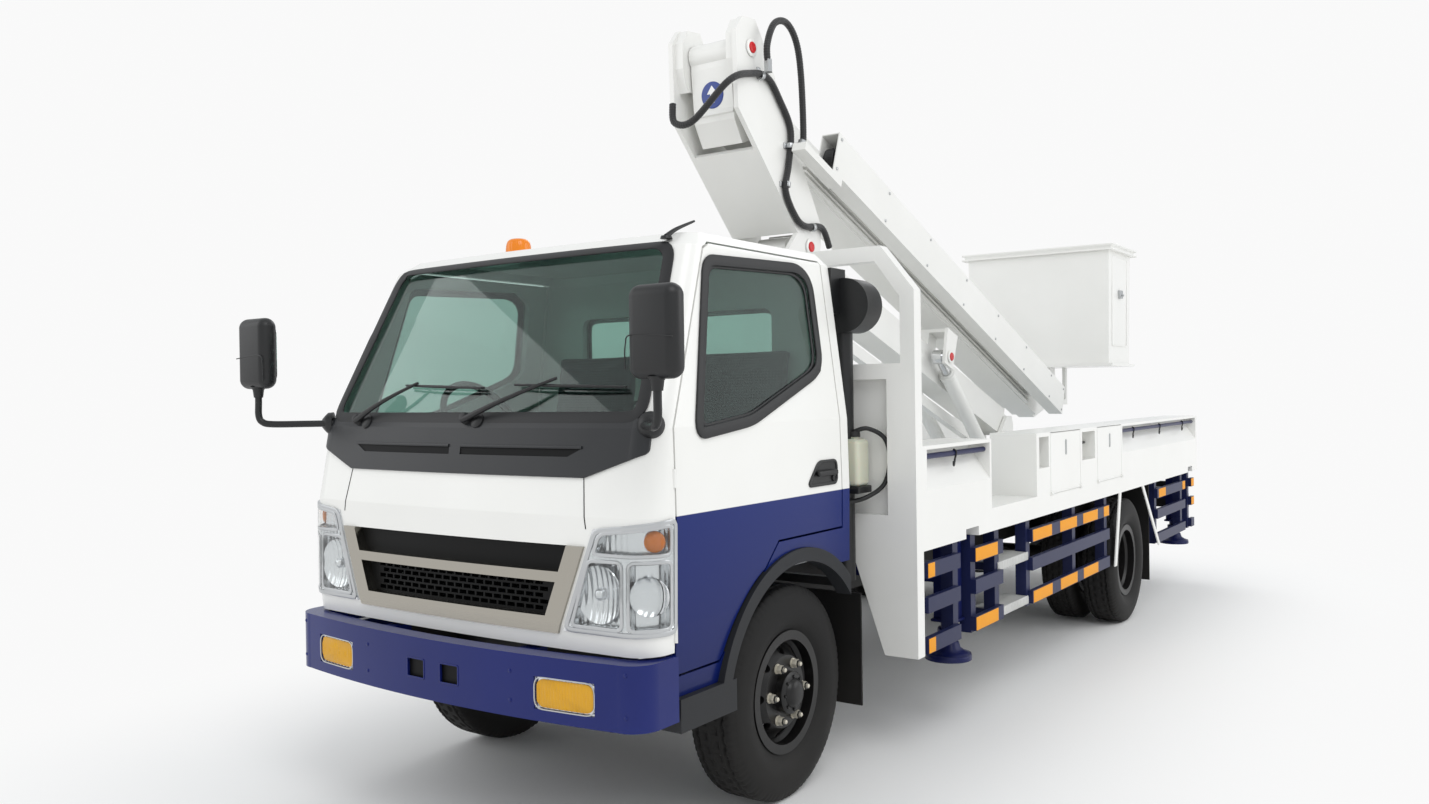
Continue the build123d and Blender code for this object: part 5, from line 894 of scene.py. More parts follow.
# %% Beacon and aerial
beacon_x, beacon_y = front_axle + 0.150, -0.430
dome_profile = ((2.104, 0.0), (2.104, 0.0545), (2.150, 0.0535), (2.176, 0.0500), (2.190, 0.0430), (2.198,
                                                            0.0280),
                (2.200, 0.0))
dome = smooth_line(dome_profile[1:], 26)
dome = np.vstack([dome_profile[:1], dome])
points, faces = turned(dome, (beacon_x, beacon_y, 0), (0, 0, 1), 96)
round_ = np.arctan2(points[:, 1] - beacon_y, points[:, 0] - beacon_x)
ripple = 1 + 0.012 * np.cos(round_ * 24)
points[:, 0] = beacon_x + (points[:, 0] - beacon_x) * ripple
points[:, 1] = beacon_y + (points[:, 1] - beacon_y) * ripple
beacon = piece("beacon_dome", amber_plastic, "truck", (points, faces))
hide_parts("roof_beacon")
piece("beacon_base", black_plastic, "truck",
      turned(((2.070, 0.0), (2.070, 0.064), (2.098, 0.064), (2.105, 0.061), (2.108, 0.052), (2.108, 0.0)),
             (beacon_x, beacon_y, 0), (0, 0, 1), 56))
aerial_path = smooth_line(((2.95, 0.66, 2.066), (2.90, 0.665, 2.096), (2.80, 0.67, 2.135)), 14)
piece("aerial", black_plastic, "truck", tube(aerial_path, np.linspace(0.010, 0.004, 14)),
      turned(((0, 0), (0, 0.022), (0.010, 0.018), (0.014, 0)), (2.95, 0.66, 2.058), (0, 0, 1), 24))
print("roof dressed")

# %% [markdown]
# ## Seats
# A seat is foam under stretched cloth, so it bulges between its edges. The plain CAD block is
# copied and meshed evenly, and a cloth simulation blows it up a little from inside, with no
# gravity. How far a point may move is capped, and the cap falls to nothing towards the floor,
# where the seat is bolted down.

# %% Padded seats
seat_voxel = 0.014
seat_cap = 0.024
seat_floor = 1.03
seat_soft = 0.10
seat_source = nodes["seats"]
seat_mesh = seat_source.data.copy()
seat_mesh.transform(seat_source.matrix_world)
seats = bpy.data.objects.new("seat_cushions", seat_mesh)
bpy.context.scene.collection.objects.link(seats)
even = seats.modifiers.new("even", "REMESH")
even.mode = "VOXEL"
even.voxel_size = seat_voxel


def applied(item):
    """Mesh of an object with all its modifiers worked out; the modifiers are then removed."""
    bpy.context.view_layer.update()
    graph = bpy.context.evaluated_depsgraph_get()
    mesh = bpy.data.meshes.new_from_object(item.evaluated_get(graph))
    item.modifiers.clear()
    item.data = mesh
    return item


def positions(mesh):
    """Vertex positions of a mesh as an array."""
    values = np.empty(len(mesh.vertices) * 3)
    mesh.vertices.foreach_get("co", values)
    return values.reshape(-1, 3)


applied(seats)
before = positions(seats.data)
cloth = seats.modifiers.new("foam", "CLOTH")
cloth.settings.use_pressure = True
cloth.settings.uniform_pressure_force = 4.0
cloth.settings.effector_weights.gravity = 0.0
for moment in range(1, 21):
    bpy.context.scene.frame_set(moment)
applied(seats)
move = positions(seats.data) - before
far = np.linalg.norm(move, axis=1, keepdims=True)
room = seat_cap * np.clip((before[:, 2:] - seat_floor) / seat_soft, 0, 1)
after = before + move * np.minimum(1, room / np.maximum(far, 1e-9))
seats.data.vertices.foreach_set("co", after.ravel())
bpy.context.scene.frame_set(1)
finer = seats.modifiers.new("finer", "SUBSURF")
finer.levels = finer.render_levels = 1
applied(seats)
seats.data.materials.clear()
seats.data.materials.append(seat_cloth)
seats.data.shade_smooth()
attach(seats, "truck")
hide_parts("seats")
print("seat faces", len(seats.data.polygons))

# %% [markdown]
# ## Knuckle, sign and pin caps
# Where the two booms meet, a round blue sign with a white arrow sits on the folded arm's
# plate, and red caps close the ends of the pins. The sign is a thin disc with a rolled edge.
# Its arrow is a flat patch a little prouder, so no drawn picture is needed.

# %% Sign and caps
sign_blue = enamel("blue_sign_enamel", "#1E3F93", "#18347E", roughness=0.3, dust=0.02)
sign_white = enamel("white_sign_enamel", "#F4F4F4", "#E9EAEA", roughness=0.3, dust=0.02)
cap_red = grained("red_cap_plastic", "#D3141C", "#B80F17", 0.3, 0.004, 0.05, dust=0.02)
sign_centre = np.array((1.716, 0.0, 2.922))
sign_out = unit((0.995, 0.0, -0.0975))
sign_up = np.array((0.0975, 0.0, 0.995))
sign_disc = ((-0.004, 0.0), (-0.004, 0.062), (0.0015, 0.062), (0.0028, 0.0605), (0.003, 0.058), (0.003, 0.0))
piece("arrow_sign", sign_blue, "upper_boom", turned(sign_disc, sign_centre, sign_out, 72))
arrow = np.array(((-0.011, -0.036), (0.011, -0.036), (0.011, 0.006), (0.029, 0.006), (0.0, 0.044),
                  (-0.029, 0.006), (-0.011, 0.006)))


def on_sign(across, height, out):
    """Plane of the sign: across to the left, up its face, and out of it."""
    return (sign_centre + across[..., None] * np.array((0, 1.0, 0)) + height[..., None] * sign_up
            + (out[..., None] + 0.0026) * sign_out)


piece("sign_arrow", sign_white, "upper_boom", pad(spread(arrow, 84), on_sign, 0.0012, rows=4, centre=(0,
                                                            0.004)))
cap = ((-0.003, 0), (-0.003, 0.026), (0.004, 0.026), (0.007, 0.023), (0.008, 0.017), (0.0065, 0.013),
       (0.0065, 0.0))
ring = ((-0.002, 0), (-0.002, 0.040), (0.004, 0.040), (0.006, 0.036), (0.006, 0.0))
for name, body, x, y, z in (("knuckle", "riser", 1.680, 0.196, 3.115), ("riser_foot", "riser", 1.165, 0.196,
                                                            2.250),
                            ("cylinder_eye", "lower_arm", -0.515, 0.222, 1.735)):
    for side in (1, -1):
        piece(f"{name}_cap_{side}", cap_red, body, turned(cap, (x, side * (y + 0.005), z), (0, side, 0), 40))
        piece(f"{name}_ring_{side}", boom_enamel, body, turned(ring, (x, side * y, z), (0, side, 0), 40))
print("caps and sign placed")

# %% [markdown]
# ## Hoses
# Hydraulic hoses run down the left of the upright arm and over to the tray on the upper
# boom. They wear a spiral guard, so their radius swells every 12 mm. Their routes are the
# ones in CAD, through a smooth curve. Zinc clamps hold the first one; the second rides with
# the boom. Its end goes into hexagon fittings, with two pale pipes on into the tray.

# %% Hoses, clamps and fittings
spiral = 0.012
riser_route = np.array(((0.208, -0.105, -0.255), (0.220, -0.085, -0.345), (0.220, 0.020, -0.350), (0.194,
                                                            0.200, -0.195),
                        (0.020, 0.208, -0.125), (-0.119, 0.208, -0.115), (-0.224, 0.208, -0.196), (-0.321,
                                                            0.208, -0.320),
                        (-0.298, 0.208, -0.493), (-0.267, 0.208, -0.618), (-0.348, 0.208, -0.727), (-0.443,
                                                            0.208, -0.770),
                        (-0.612, 0.208, -0.760), (-0.690, 0.208, -0.850)))
fitting_top = knuckle_pin + boom_along * 0.470 - boom_up * 0.2645
fitting_top[1] = 0.246
loop_route = np.array(((-0.064, 0.246, -0.077), (-0.058, 0.246, 0.018), (-0.122, 0.246, 0.132), (-0.230,
                                                            0.246, 0.165),
                       (-0.320, 0.246, 0.098), (-0.362, 0.246, -0.054))) + knuckle_pin
loop_route = np.vstack([loop_route, fitting_top + boom_up * 0.076, fitting_top])


def hose(route):
    """Tube along a smooth curve; its radius swells a little once in every turn of the spiral."""
    line = smooth_line(route, 700)
    run = np.concatenate([[0], np.cumsum(np.linalg.norm(np.diff(line, axis=0), axis=1))])
    return tube(line, 0.0158 * (1 + 0.045 * np.sin(run * 2 * np.pi / spiral)), 14)


first_hose = piece("riser_hose", hose_sleeve, "riser", hose(riser_route + knuckle_pin))
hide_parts("riser_hoses")


def clamp(place, along, wide=0.024):
    """Zinc band round a hose, with two rolled edges."""
    half = wide / 2
    edge = ((-half, 0.0165), (-half, 0.0200), (-half + 0.003, 0.0212), (0, 0.0202), (half - 0.003, 0.0212),
            (half, 0.0200), (half, 0.0165))
    return turned(edge, place, along, 32)


clamps = [clamp(knuckle_pin + (x, 0.208, z), along) for x, z, along in
          ((-0.060, -0.118, (1, 0, 0)), (-0.315, -0.400, (0.15, 0, -1)), (-0.276, -0.590, (0.2, 0, -1)),
           (-0.520, -0.768, (1, 0, 0)))]
plates = [block(knuckle_pin + (x - 0.014, 0.188, z - 0.014), knuckle_pin + (x + 0.014, 0.200, z + 0.014),
                0.004)
          for x, z in ((-0.060, -0.090), (-0.290, -0.400), (-0.250, -0.590))]
piece("hose_clamps", zinc, "riser", *clamps, *plates)
nut_stack = ((0, 0), (0, 0.026), (0.020, 0.026), (0.022, 0.023), (0.022, 0.021), (0.040, 0.021), (0.042,
                                                            0.017), (0.042, 0.0))
fitting_nuts = turned(nut_stack, fitting_top + boom_up * 0.001, boom_up, 36, 6)
stub = turned(((-0.03, 0.0), (-0.03, 0.021), (0.028, 0.021), (0.030, 0.017), (0.030, 0.0)),
              knuckle_pin + (-0.064, 0.246, -0.077), (0, 0, 1), 36, 6)
pipes = []
for offset in (0.0, 0.026):
    start = knuckle_pin + boom_along * 0.60 - boom_up * (0.282 - offset) + (0, 0.256, 0)
    route = np.vstack([start, start + boom_along * 0.10, start + boom_along * 0.16 + boom_up * 0.025,
                       start + boom_along * 0.24 + boom_up * 0.045])
    pipes.append(tube(smooth_line(route, 40), 0.0075, 14))
piece("tray_fittings", zinc, "upper_boom", fitting_nuts, *pipes)
piece("loop_stub", zinc, "riser", stub)
for hose_name, hose_route in (("riser hose", riser_route), ("loop hose", loop_route)):
    hose_steps = np.linalg.norm(np.diff(smooth_line(hose_route, 700), axis=0), axis=1)
    print(hose_name, "length m", round(float(hose_steps.sum()), 3))

# %% [markdown]
# Inside the tray lies a chain of plastic links that carries the hoses when the telescope
# moves. Only its open end shows. Each link is a rounded block on the chain's line, with a bar
# over it, and the chain bends back in a half round at the open end.

# %% Hose chain in the tray
link_step = 0.062
link_count = int((4.38 - 0.80) / link_step)
links = []
for number in range(link_count):
    middle = 0.80 + link_step * number
    low = np.array((-link_step * 0.46, 0.222, -0.046))
    high = np.array((link_step * 0.46, 0.284, 0.026))
    points, faces = block(low, high, 0.007, 12)
    turned_points = (knuckle_pin + points[:, :1] * boom_along + points[:, 1:2] * (0, 1, 0)
                     + points[:, 2:] * boom_up + boom_along * middle - boom_up * 0.180)
    links.append((turned_points, faces))
bend = np.linspace(-np.pi / 2, np.pi / 2, 9)
for angle in bend:
    points, faces = block((-0.016, 0.224, -0.012), (0.016, 0.282, 0.012), 0.006, 12)
    out = -math.cos(angle) * boom_along + math.sin(angle) * boom_up
    over = math.sin(angle) * boom_along + math.cos(angle) * boom_up
    links.append((knuckle_pin + points[:, :1] * over + points[:, 1:2] * (0, 1, 0) + points[:, 2:] * out
                  + boom_along * 0.775 - boom_up * 0.172 + out * 0.058, faces))
piece("hose_chain", black_plastic, "upper_boom", *links)
loop = piece("loop_hose", hose_sleeve, "upper_boom", hose(loop_route))
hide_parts("boom_hoses")
bolt = ((-0.001, 0), (-0.001, 0.0085), (0.0045, 0.0085), (0.0055, 0.006), (0.006, 0.0))
tray_bolts = [turned(bolt, knuckle_pin + boom_along * d - boom_up * (0.157 + h) + (0, 0.304, 0), (0, 1, 0),
                     18, 6)
              for d in (0.73, 1.30, 1.87, 2.44, 3.01, 3.58, 4.15, 4.45) for h in (-0.082, 0.082)]
piece("tray_bolts", zinc, "upper_boom", *tray_bolts)
print("links", len(links), "bolts", len(tray_bolts))

# %% [markdown]
# The lift cylinders have a threaded gland at the open end of each barrel, with a wiper ring
# on it, and a weld bead round the foot. All are turned about the cylinder's own line.

# %% Cylinder glands
barrel_pin = np.array((front_axle - 3.700, 0.0, 1.078))
ear_pin = np.array((front_axle - 2.930, 0.0, 1.735))
barrel_along = unit(ear_pin - barrel_pin)
barrel_end = np.linalg.norm(ear_pin - barrel_pin) * 0.84
gland = ((-0.035, 0.0470), (-0.035, 0.0515), (-0.004, 0.0515), (0.0, 0.0500), (0.002, 0.0400), (0.009,
                                                            0.0385),
         (0.010, 0.0285), (0.001, 0.0280), (0.001, 0.0470))
weld = ((-0.008, 0.0455), (-0.003, 0.0495), (0.003, 0.0495), (0.008, 0.0455))
for side in (1, -1):
    offset = np.array((0, side * 0.143, 0))
    piece(f"gland_{side}", boom_enamel, "barrels",
          turned(gland, barrel_pin + barrel_along * barrel_end + offset, barrel_along, 44),
          turned(weld, barrel_pin + barrel_along * 0.075 + offset, barrel_along, 44))
print("glands at", round(barrel_end, 3), "m from the lower pin")

# %% [markdown]
# ## Sides of the body
# A blue rod runs along each open bay, with bent steel hooks on it. Locker doors have a slot
# handle and turn on a rod with pale knobs. The rods are tubes; a hook is a short curve in the
# shape of an S. The guard rails carry amber reflectors, moulded with fine upright ribs, and
# the footholds between them have pale corrugated treads.

# %% Rods, hooks and locker fittings
body_front = 1.747
body_length = 5.222
bays = ((0.008, 0.143, 1), (0.581, 0.992, 3))
recesses = ((0.276, 0.305), (0.418, 0.466))
locker_spans = ((0.310, 0.411), (0.475, 0.576))
hook_shape = np.array(((0.0, 0.0, 0.016), (0.0, 0.012, 0.010), (0.0, 0.013, -0.004), (0.004, 0.008, -0.030),
                       (0.016, 0.010, -0.052), (0.036, 0.016, -0.050), (0.044, 0.020, -0.034)))
for side_name, side in (("left", 1), ("right", -1)):
    hooks, rods = [], []
    for start, end, count in bays:
        x_start, x_end = body_front - body_length * start, body_front - body_length * end
        rods.append(tube(np.linspace((x_end + 0.001, side * 1.018, 1.248), (x_start - 0.001, side * 1.018,
                                                            1.248), 12),
                         0.0125, 18))
        for number in range(count):
            x = x_start + (x_end - x_start) * (number + 0.5) / count
            hooks.append(tube(smooth_line(hook_shape * (1, side, 1) + (x, side * 1.018, 1.248), 40), 0.0045,
                              10))
    for start, end in recesses:
        x = body_front - body_length * (start + end) / 2
        bar_ends = np.linspace((body_front - body_length * end, side * 0.985, 1.205),
                               (body_front - body_length * start, side * 0.985, 1.205), 8)
        hooks.append(tube(bar_ends, 0.008, 12))
        hooks.append(tube(smooth_line(hook_shape * (1.2, side, 1.2) + (x, side * 0.985, 1.205), 40), 0.005,
                          10))
    piece(f"bay_rods_{side_name}", jack_enamel, "truck", *rods)
    piece(f"hooks_{side_name}", black_plastic, "truck", *hooks)
    for end_name, (start, end) in zip(("front", "rear"), locker_spans):
        low_x, high_x = body_front - body_length * end, body_front - body_length * start
        middle = (low_x + high_x) / 2
        slot = spread(rounded(((middle - 0.008, 1.165), (middle + 0.008, 1.165), (middle + 0.008, 1.245),
                               (middle - 0.008, 1.245)), 0.007), 60)
        slot_line = np.stack([slot[:, 0], np.full(len(slot), side * 1.050), slot[:, 1]], -1)
        lip = band(slot_line, np.tile((0.0, side, 0), (len(slot), 1)), bead(0.006, 0.003))
        pull = block((middle - 0.0035, side * 1.049, 1.175), (middle + 0.0035, side * 1.0545, 1.235), 0.0025)
        body = f"locker_{end_name}_{side_name}"
        piece(f"locker_handle_{end_name}_{side_name}", zinc, body, lip, pull)
        hinge = tube(np.linspace((low_x + 0.01, side * 1.048, 0.969), (high_x - 0.01, side * 1.048, 0.969),
                                 6), 0.0065, 14)
        knob = ((-0.012, 0), (-0.012, 0.010), (-0.008, 0.013), (0.008, 0.013), (0.012, 0.010), (0.012, 0))
        knobs = [turned(knob, (x, side * 1.050, 0.969), (1, 0, 0), 24) for x in (low_x + 0.008,
                                                            high_x - 0.008)]
        piece(f"locker_hinge_{end_name}_{side_name}", boom_enamel, body, hinge, *knobs)
print("bays and lockers fitted")

# %% [markdown]
# ## Reflectors and treads
# The rails of the side guards carry amber reflectors, thin plates with fine ribs in them.
# The step bars wear pressed metal treads with ribs across them against slipping. One function
# makes each kind, as a wave along X, and a loop sets them along both sides.

# %% Reflectors and treads
amber_reflector = grained("amber_reflector_plastic", "#F2A302", "#E89600", 0.35, 0.004, 0.10, dust=0.02,
                          Specular_IOR_Level=0.3)
tread_metal = grained("pressed_tread_metal", "#D9DAD8", "#BFC0BE", 0.45, 0.004, 0.12, metallic=0.3)
top_rail = ((0.740, 0.810), (1.262, 1.540), (2.040, 2.340), (2.480, 2.780), (2.900, 3.190), (3.320, 3.430),
            (4.700, 4.900), (5.440, 5.525), (5.745, 5.835))
low_rail = ((0.740, 0.810), (1.262, 1.540), (2.040, 2.340), (2.480, 2.780), (2.900, 3.190))
mid_rail = ((5.745, 5.835),)
reflector_places = ([(a, b, 0.771) for a, b in top_rail] + [(a, b, 0.455) for a, b in low_rail]
                    + [(a, b, 0.625) for a, b in mid_rail])


def ribbed_plate(x_low, x_high, y_face, side, z_low, z_high, pitch=0.010, depth=0.0012):
    """Plate on an upright face whose front is a fine wave along X, with rounded edges."""
    columns = int((x_high - x_low) / pitch * 6)
    t = np.linspace(0, 1, columns)[:, None]
    edge = np.clip(np.minimum(t, 1 - t) * (x_high - x_low) / 0.004, 0, 1)
    wave = depth * (0.5 + 0.5 * np.cos(t * (x_high - x_low) / pitch * 2 * np.pi))
    rows = np.array(((0.0, 0.0), (0.0, 0.7), (0.05, 1.0), (0.95, 1.0), (1.0, 0.7), (1.0, 0.0), (0.5, 0.0)))
    out = rows[None, :, 1] * (0.0022 + wave) * edge
    x = x_low + t * (x_high - x_low) + 0 * rows[None, :, 0]
    z = z_low + rows[None, :, 0] * (z_high - z_low) + 0 * t
    grid = np.stack([x, side * (y_face - 0.0006 + out), z], -1)
    ends = [np.tile(grid[k].mean(0), (1, len(rows), 1)) for k in (0, -1)]
    grid = np.concatenate([ends[0], grid, ends[1]])
    return grid.reshape(-1, 3), quads(len(grid), len(rows), wrap_columns=True)


def corrugated(x_low, x_high, y_low, y_high, z_low, z_high, side, pitch=0.022, depth=0.003):
    """Tread that wraps a step bar: its rounded section swells in ribs across the step."""
    columns = int((x_high - x_low) / pitch * 8)
    t = np.linspace(0, 1, columns)[:, None]
    section = spread(rounded(((y_low, z_low), (y_high, z_low), (y_high, z_high), (y_low, z_high)), 0.006), 48)
    middle = section.mean(0)
    outward = unit(section - middle)
    swell = depth * (0.5 + 0.5 * np.sign(np.sin(t * (x_high - x_low) / pitch * 2 * np.pi)))
    y = section[None, :, 0] + outward[None, :, 0] * swell
    z = section[None, :, 1] + outward[None, :, 1] * swell
    grid = np.stack([x_low + t * (x_high - x_low) + 0 * y, side * y, z], -1)
    ends = [np.tile(grid[k].mean(0), (1, len(section), 1)) for k in (0, -1)]
    grid = np.concatenate([ends[0], grid, ends[1]])
    return grid.reshape(-1, 3), quads(len(grid), len(section), wrap_columns=True)


for side_name, side in (("left", 1), ("right", -1)):
    plates = [ribbed_plate(front_axle - b, front_axle - a, 1.036, side, z - 0.030, z + 0.030)
              for a, b, z in reflector_places]
    piece(f"reflectors_{side_name}", amber_reflector, "truck", *plates, angle=60)
    treads = [corrugated(0.392, 0.818, 0.884, 1.013, z - 0.003, z + 0.039, side) for z in (0.425, 0.650)]
    piece(f"step_treads_{side_name}", tread_metal, "truck", *treads)
print("reflectors", len(reflector_places), "a side")

# %% [markdown]
# The jacks have a flange at the foot of each square column, a collar on the leg and a round
# pad with a raised cone. All are turned profiles that follow their own leg.

# %% Jack collars and pads
cone = ((0.0, 0.0), (0.0, 0.1055), (0.008, 0.1065), (0.020, 0.1055), (0.029, 0.098), (0.036, 0.078), (0.052,
                                                            0.056),
        (0.078, 0.048), (0.082, 0.044), (0.082, 0.0332), (0.028, 0.0332), (0.028, 0.0))
collar = ((0.0, 0.0332), (0.0, 0.044), (0.004, 0.047), (0.026, 0.047), (0.030, 0.044), (0.030, 0.0332))
for end_name, back in (("front", 1.195), ("rear", 5.640)):
    for side_name, side in (("left", 1), ("right", -1)):
        x, y = front_axle - back, side * 0.925
        pad_piece = turned(tuple((z, r) for z, r in cone), (x, y, 0.299), (0, 0, 1), 64)
        leg_collar = turned(collar, (x, y, 0.412), (0, 0, 1), 48)
        piece(f"jack_pad_{end_name}_{side_name}", jack_enamel, f"jack_{end_name}_{side_name}", pad_piece,
              leg_collar)
        flange = block((x - 0.060, y - 0.060, 0.472), (x + 0.060, y + 0.060, 0.486), 0.006)
        lid = block((x - 0.052, y - 0.052, 0.894), (x + 0.052, y + 0.052, 0.908), 0.006)
        stiffener = [block((x + a * 0.0475, y - 0.006, 0.484), (x + a * 0.0585, y + 0.006, 0.530), 0.003)
                     for a in (1, -1)]
        pin = turned(((-0.062, 0), (-0.062, 0.009), (0.062, 0.009), (0.062, 0)), (x, y, 0.842), (0, 1, 0), 20)
        piece(f"jack_flange_{end_name}_{side_name}", jack_enamel, "truck", flange, lid, *stiffener, pin)
print("jacks dressed")

# %% [markdown]
# ## Bucket, tank and small fittings
# The bucket has a thick rolled rim, a kick flange below and a latch on its left side. Rims are
# beads swept round the bucket's outline. Behind the cab stands a milky bottle with a black
# hose. The fuel tank hangs in two straps with a filler cap, and the rear lamps have lenses in
# three colours.

# %% Bucket trim
def hoop(x_low, x_high, y_half, z, width, height, corner=0.02):
    """Bead round a level rectangle; its outward side is level too."""
    line = spread(rounded(((x_low, -y_half), (x_high, -y_half), (x_high, y_half), (x_low, y_half)), corner),
                  220)
    step = unit(np.roll(line, -1, 0) - np.roll(line, 1, 0))
    outward = np.stack([step[:, 1], -step[:, 0], np.zeros(len(line))], -1)
    path = np.column_stack([line, np.full(len(line), z)])
    return band(path, outward, bead(width, height))


bucket_low_x, bucket_high_x = -3.405, -2.785
rims = [hoop(bucket_low_x - 0.044, bucket_high_x + 0.044, 0.614, 2.598, 0.010, 0.004),
        hoop(bucket_low_x - 0.044, bucket_high_x + 0.044, 0.614, 2.636, 0.012, 0.003)]
latch = [block((-3.12, 0.560, 2.235), (-3.05, 0.588, 2.300), 0.006),
         block((-3.10, 0.580, 2.250), (-3.07, 0.602, 2.268), 0.006)]
door_line = spread(rounded(((-3.300, 1.86), (-2.880, 1.86), (-2.880, 2.56), (-3.300, 2.56)), 0.02), 160)
door_seam = band(np.stack([door_line[:, 0], 0.5625 + (door_line[:, 1] - 1.72) * 0.008, door_line[:, 1]], -1),
                 np.tile((0.0, 1.0, 0), (len(door_line), 1)), bead(0.007, 0.002))
piece("bucket_latch", zinc, "bucket", *latch)
piece("bucket_rims", white_enamel, "bucket", *rims, door_seam)
print("bucket trim fitted")

# %% [markdown]
# ## Tank straps, bottle and rear lamps
# Two steel straps go round the fuel tank, as bands that follow its outline. A milky bottle
# for screen wash stands on a shelf behind the cab, with a thin hose. Each rear lamp has a red,
# an amber and a clear lens, as crowned pads. The oil tank has a handle and a lid knob.

# %% Tank straps, bottle and rear lamps
milky = grained("milky_tank_plastic", "#D9DAC8", "#C9C9B4", 0.4, 0.01, 0.05, Subsurface_Weight=0.2,
                Subsurface_Scale=0.02)
straps = []
for x in (-0.06, 0.49):
    loop_points = spread(rounded(((-0.382, 0.395), (-0.782, 0.395), (-0.782, 0.735), (-0.382, 0.735)), 0.06,
                                 9), 160)
    middle = loop_points.mean(0)
    step = unit(np.roll(loop_points, -1, 0) - np.roll(loop_points, 1, 0))
    outward = np.stack([np.zeros(len(step)), -step[:, 1], step[:, 0]], -1)
    outward *= np.sign(((loop_points - middle) * outward[:, 1:]).sum(1))[:, None]
    path = np.column_stack([np.full(len(step), x), loop_points])
    straps.append(band(path, outward, bead(0.042, 0.003)))
filler = turned(((-0.01, 0), (-0.01, 0.040), (0.022, 0.040), (0.026, 0.036), (0.028, 0.0)), (0.215, -0.690,
                                                            0.735),
                (0, -0.2, 1), 40)
piece("tank_straps", zinc, "truck", *straps)
piece("tank_filler", black_plastic, "truck", filler)
bottle = block((1.815, 0.745, 1.134), (1.925, 0.845, 1.330), 0.022)
neck = turned(((0, 0), (0, 0.024), (0.012, 0.024), (0.014, 0.021), (0.014, 0.0)), (1.870, 0.795, 1.326), (0,
                                                            0, 1), 32)
piece("screen_wash_bottle", milky, "truck", bottle, neck)
wash_cap = turned(((0, 0), (0, 0.030), (0.022, 0.029), (0.026, 0.024), (0.028, 0)), (1.870, 0.795, 1.338),
                  (0, 0, 1), 32)
wash_hose = tube(smooth_line(((1.870, 0.800, 1.360), (1.845, 0.850, 1.372), (1.800, 0.905, 1.330), (1.786,
                                                            0.920, 1.240),
                              (1.800, 0.900, 1.140), (1.850, 0.840, 1.085), (1.930, 0.790, 1.070)), 90),
                              0.0095, 14)
shelf = block((1.812, 0.640, 1.106), (1.930, 0.850, 1.136), 0.006)
piece("wash_fittings", black_plastic, "truck", wash_cap, wash_hose, shelf)
lens_red = grained("red_lamp_lens", "#B3141A", "#9C0F14", 0.2, 0.006, 0.05, dust=0.03)
for side_name, side in (("left", 1), ("right", -1)):
    for name, material, first, last in (("stop", lens_red, 0.896, 0.982), ("turn", amber_plastic, 0.800,
                                                            0.892),
                                        ("reverse", lens_glass, 0.692, 0.796)):
        plate = spread(rounded(((side * first, 0.678), (side * last, 0.678), (side * last, 0.758),
                                (side * first, 0.758)),
                               0.008), 80)

        def rear_face(y, z, out):
            """Plane of the lamp box; out points backwards."""
            return np.stack([-3.468 - out, y + 0 * out, z + 0 * out], -1)

        piece(f"rear_lens_{name}_{side_name}", material, "truck", pad(plate, rear_face, 0.006, crown=0.004,
                                                            rows=8))
handle = tube(smooth_line(((0.60, -0.10, 1.383), (0.60, -0.10, 1.42), (0.60, -0.07, 1.43), (0.60, 0.07, 1.43),
                           (0.60, 0.10, 1.42), (0.60, 0.10, 1.383)), 60), 0.006, 12)
lid_knob = turned(((0, 0), (0, 0.028), (0.014, 0.028), (0.018, 0.024), (0.019, 0)), (0.70, 0.25, 1.384), (0,
                                                            0, 1), 32)
piece("oil_tank_fittings", zinc, "truck", handle, lid_knob)
print("bucket, tank and lamps fitted")

# %% [markdown]
# ## Camera, floor and light
# The camera was solved from the wheels and the cab: it stands 3.5 m ahead of the front axle
# and 3 m to the left, at chest height, and tilts less than a degree. Its lens is 27.7 mm on a
# 36 mm sensor. Its three axes are written as vectors and put into one matrix.

# %% Camera
def camera_axes(yaw, pitch, roll):
    """Right, up and view vectors from the turn about Z, the tilt and the roll, in degrees."""
    yaw, pitch, roll = (math.radians(v) for v in (yaw, pitch, roll))
    view = Vector((math.cos(yaw) * math.cos(pitch), math.sin(yaw) * math.cos(pitch), math.sin(pitch)))
    right = view.cross(Vector((0, 0, 1))).normalized()
    up = right.cross(view)
    return (right * math.cos(roll) + up * math.sin(roll),
            up * math.cos(roll) - right * math.sin(roll), view)


right, up, view = camera_axes(215.0476, -0.4241, -0.8337)
eye = bpy.data.cameras.new("camera")
eye.lens = 27.74
eye.sensor_width = 36
camera = bpy.data.objects.new("camera", eye)
bpy.context.scene.collection.objects.link(camera)
camera.matrix_world = Matrix.Translation((5.9471, 2.9536, 1.525)) @ Matrix(
    (right, up, -view)).transposed().to_4x4()
bpy.context.scene.camera = camera
print("camera at", [round(v, 3) for v in camera.matrix_world.translation])

# %% [markdown]
# The photograph has a white studio floor that runs into a white background, with a soft
# shadow. A large plane takes the shadow. Its own colour is pale, and where the camera or a
# reflection looks at the world it is plain white. Three broad lamps light the truck: a key
# from the upper front left, a fill from the right and a rear light that lifts the roof.

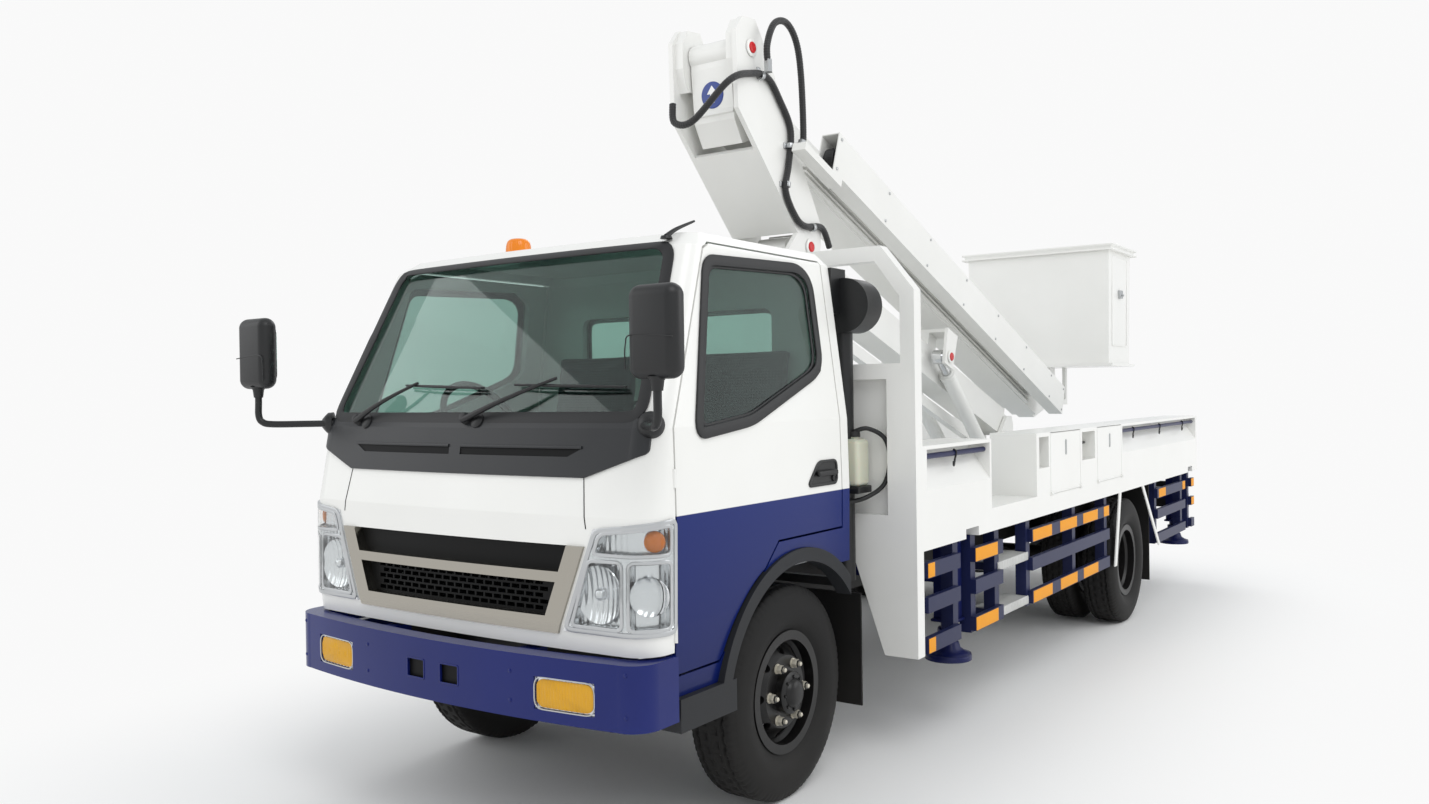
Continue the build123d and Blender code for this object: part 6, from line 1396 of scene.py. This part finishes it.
# %% Floor, world and lamps
floor_half = 60.0
half_length = 3.4
half_width = 0.95
shadow_reach = 1.9
background = 0.95
floor_mesh = bpy.data.meshes.new("floor")
corners = np.array([(-1, -1), (1, -1), (1, 1), (-1, 1)]) * floor_half
floor_mesh.from_pydata(np.column_stack([corners, np.full(4, -0.001)]).tolist(), [], [(0, 1, 2, 3)])
floor = bpy.data.objects.new("floor", floor_mesh)
bpy.context.scene.collection.objects.link(floor)
material, tree, shader, place = finish("pale_studio_floor", 0.8)
shader.inputs["Base Color"].default_value = linear("#F4F4F3")
shader.inputs["Specular IOR Level"].default_value = 0.1
axes = add(tree, "ShaderNodeSeparateXYZ", {0: place})
beyond = []
for axis, half_size in (("X", half_length), ("Y", half_width)):
    size = add(tree, "ShaderNodeMath", {0: axes.outputs[axis]}, operation="ABSOLUTE").outputs[0]
    past = add(tree, "ShaderNodeMath", {0: size, 1: half_size}, operation="SUBTRACT").outputs[0]
    beyond.append(add(tree, "ShaderNodeMath", {0: past, 1: 0.0}, operation="MAXIMUM").outputs[0])
away = add(tree, "ShaderNodeCombineXYZ", {0: beyond[0], 1: beyond[1]})
distance = add(tree, "ShaderNodeVectorMath", {0: away.outputs[0]}, operation="LENGTH").outputs["Value"]
fade = add(tree, "ShaderNodeMapRange", {"Value": distance, "From Min": 0.1, "From Max": shadow_reach},
           interpolation_type="SMOOTHSTEP").outputs[0]
white = add(tree, "ShaderNodeEmission", {"Color": (1, 1, 1, 1), "Strength": background})
blend = add(tree, "ShaderNodeMixShader", {0: fade, 1: shader.outputs[0], 2: white.outputs[0]})
tree.links.new(blend.outputs[0], tree.nodes["Material Output"].inputs["Surface"])
floor_mesh.materials.append(material)

world = bpy.data.worlds.new("studio")
bpy.context.scene.world = world
world.use_nodes = True
tree = world.node_tree
room = tree.nodes["Background"]
room.inputs["Color"].default_value = linear("#F4F6F8")
room.inputs["Strength"].default_value = 0.86
seen = add(tree, "ShaderNodeBackground", {"Color": (1, 1, 1, 1), "Strength": background})
path = add(tree, "ShaderNodeLightPath")
looks = add(tree, "ShaderNodeMath", {0: path.outputs["Is Camera Ray"],
                                     1: path.outputs["Is Transmission Ray"]},
            operation="MAXIMUM")
pick = add(tree, "ShaderNodeMixShader", {0: looks.outputs[0], 1: room.outputs[0], 2: seen.outputs[0]})
tree.links.new(pick.outputs[0], tree.nodes["World Output"].inputs["Surface"])

lamps = (
    ("key", (6.0, 6.0, 9.0), 5.0, 240.0),
    ("fill", (8.0, -7.0, 5.0), 6.0, 120.0),
    ("side", (-4.0, 9.0, 5.0), 6.0, 210.0),
    ("back", (-7.0, -3.0, 8.0), 5.0, 140.0),
)
for name, place, size, power in lamps:
    light = bpy.data.lights.new(name, "AREA")
    light.size = size
    light.energy = power
    lamp = bpy.data.objects.new(name, light)
    bpy.context.scene.collection.objects.link(lamp)
    aim = Vector((0, 0, 1.2)) - Vector(place)
    lamp.matrix_world = Matrix.Translation(place) @ aim.to_track_quat("-Z", "Y").to_matrix().to_4x4()
bpy.context.scene.view_settings.view_transform = "Standard"
print("lamps", len(lamps))
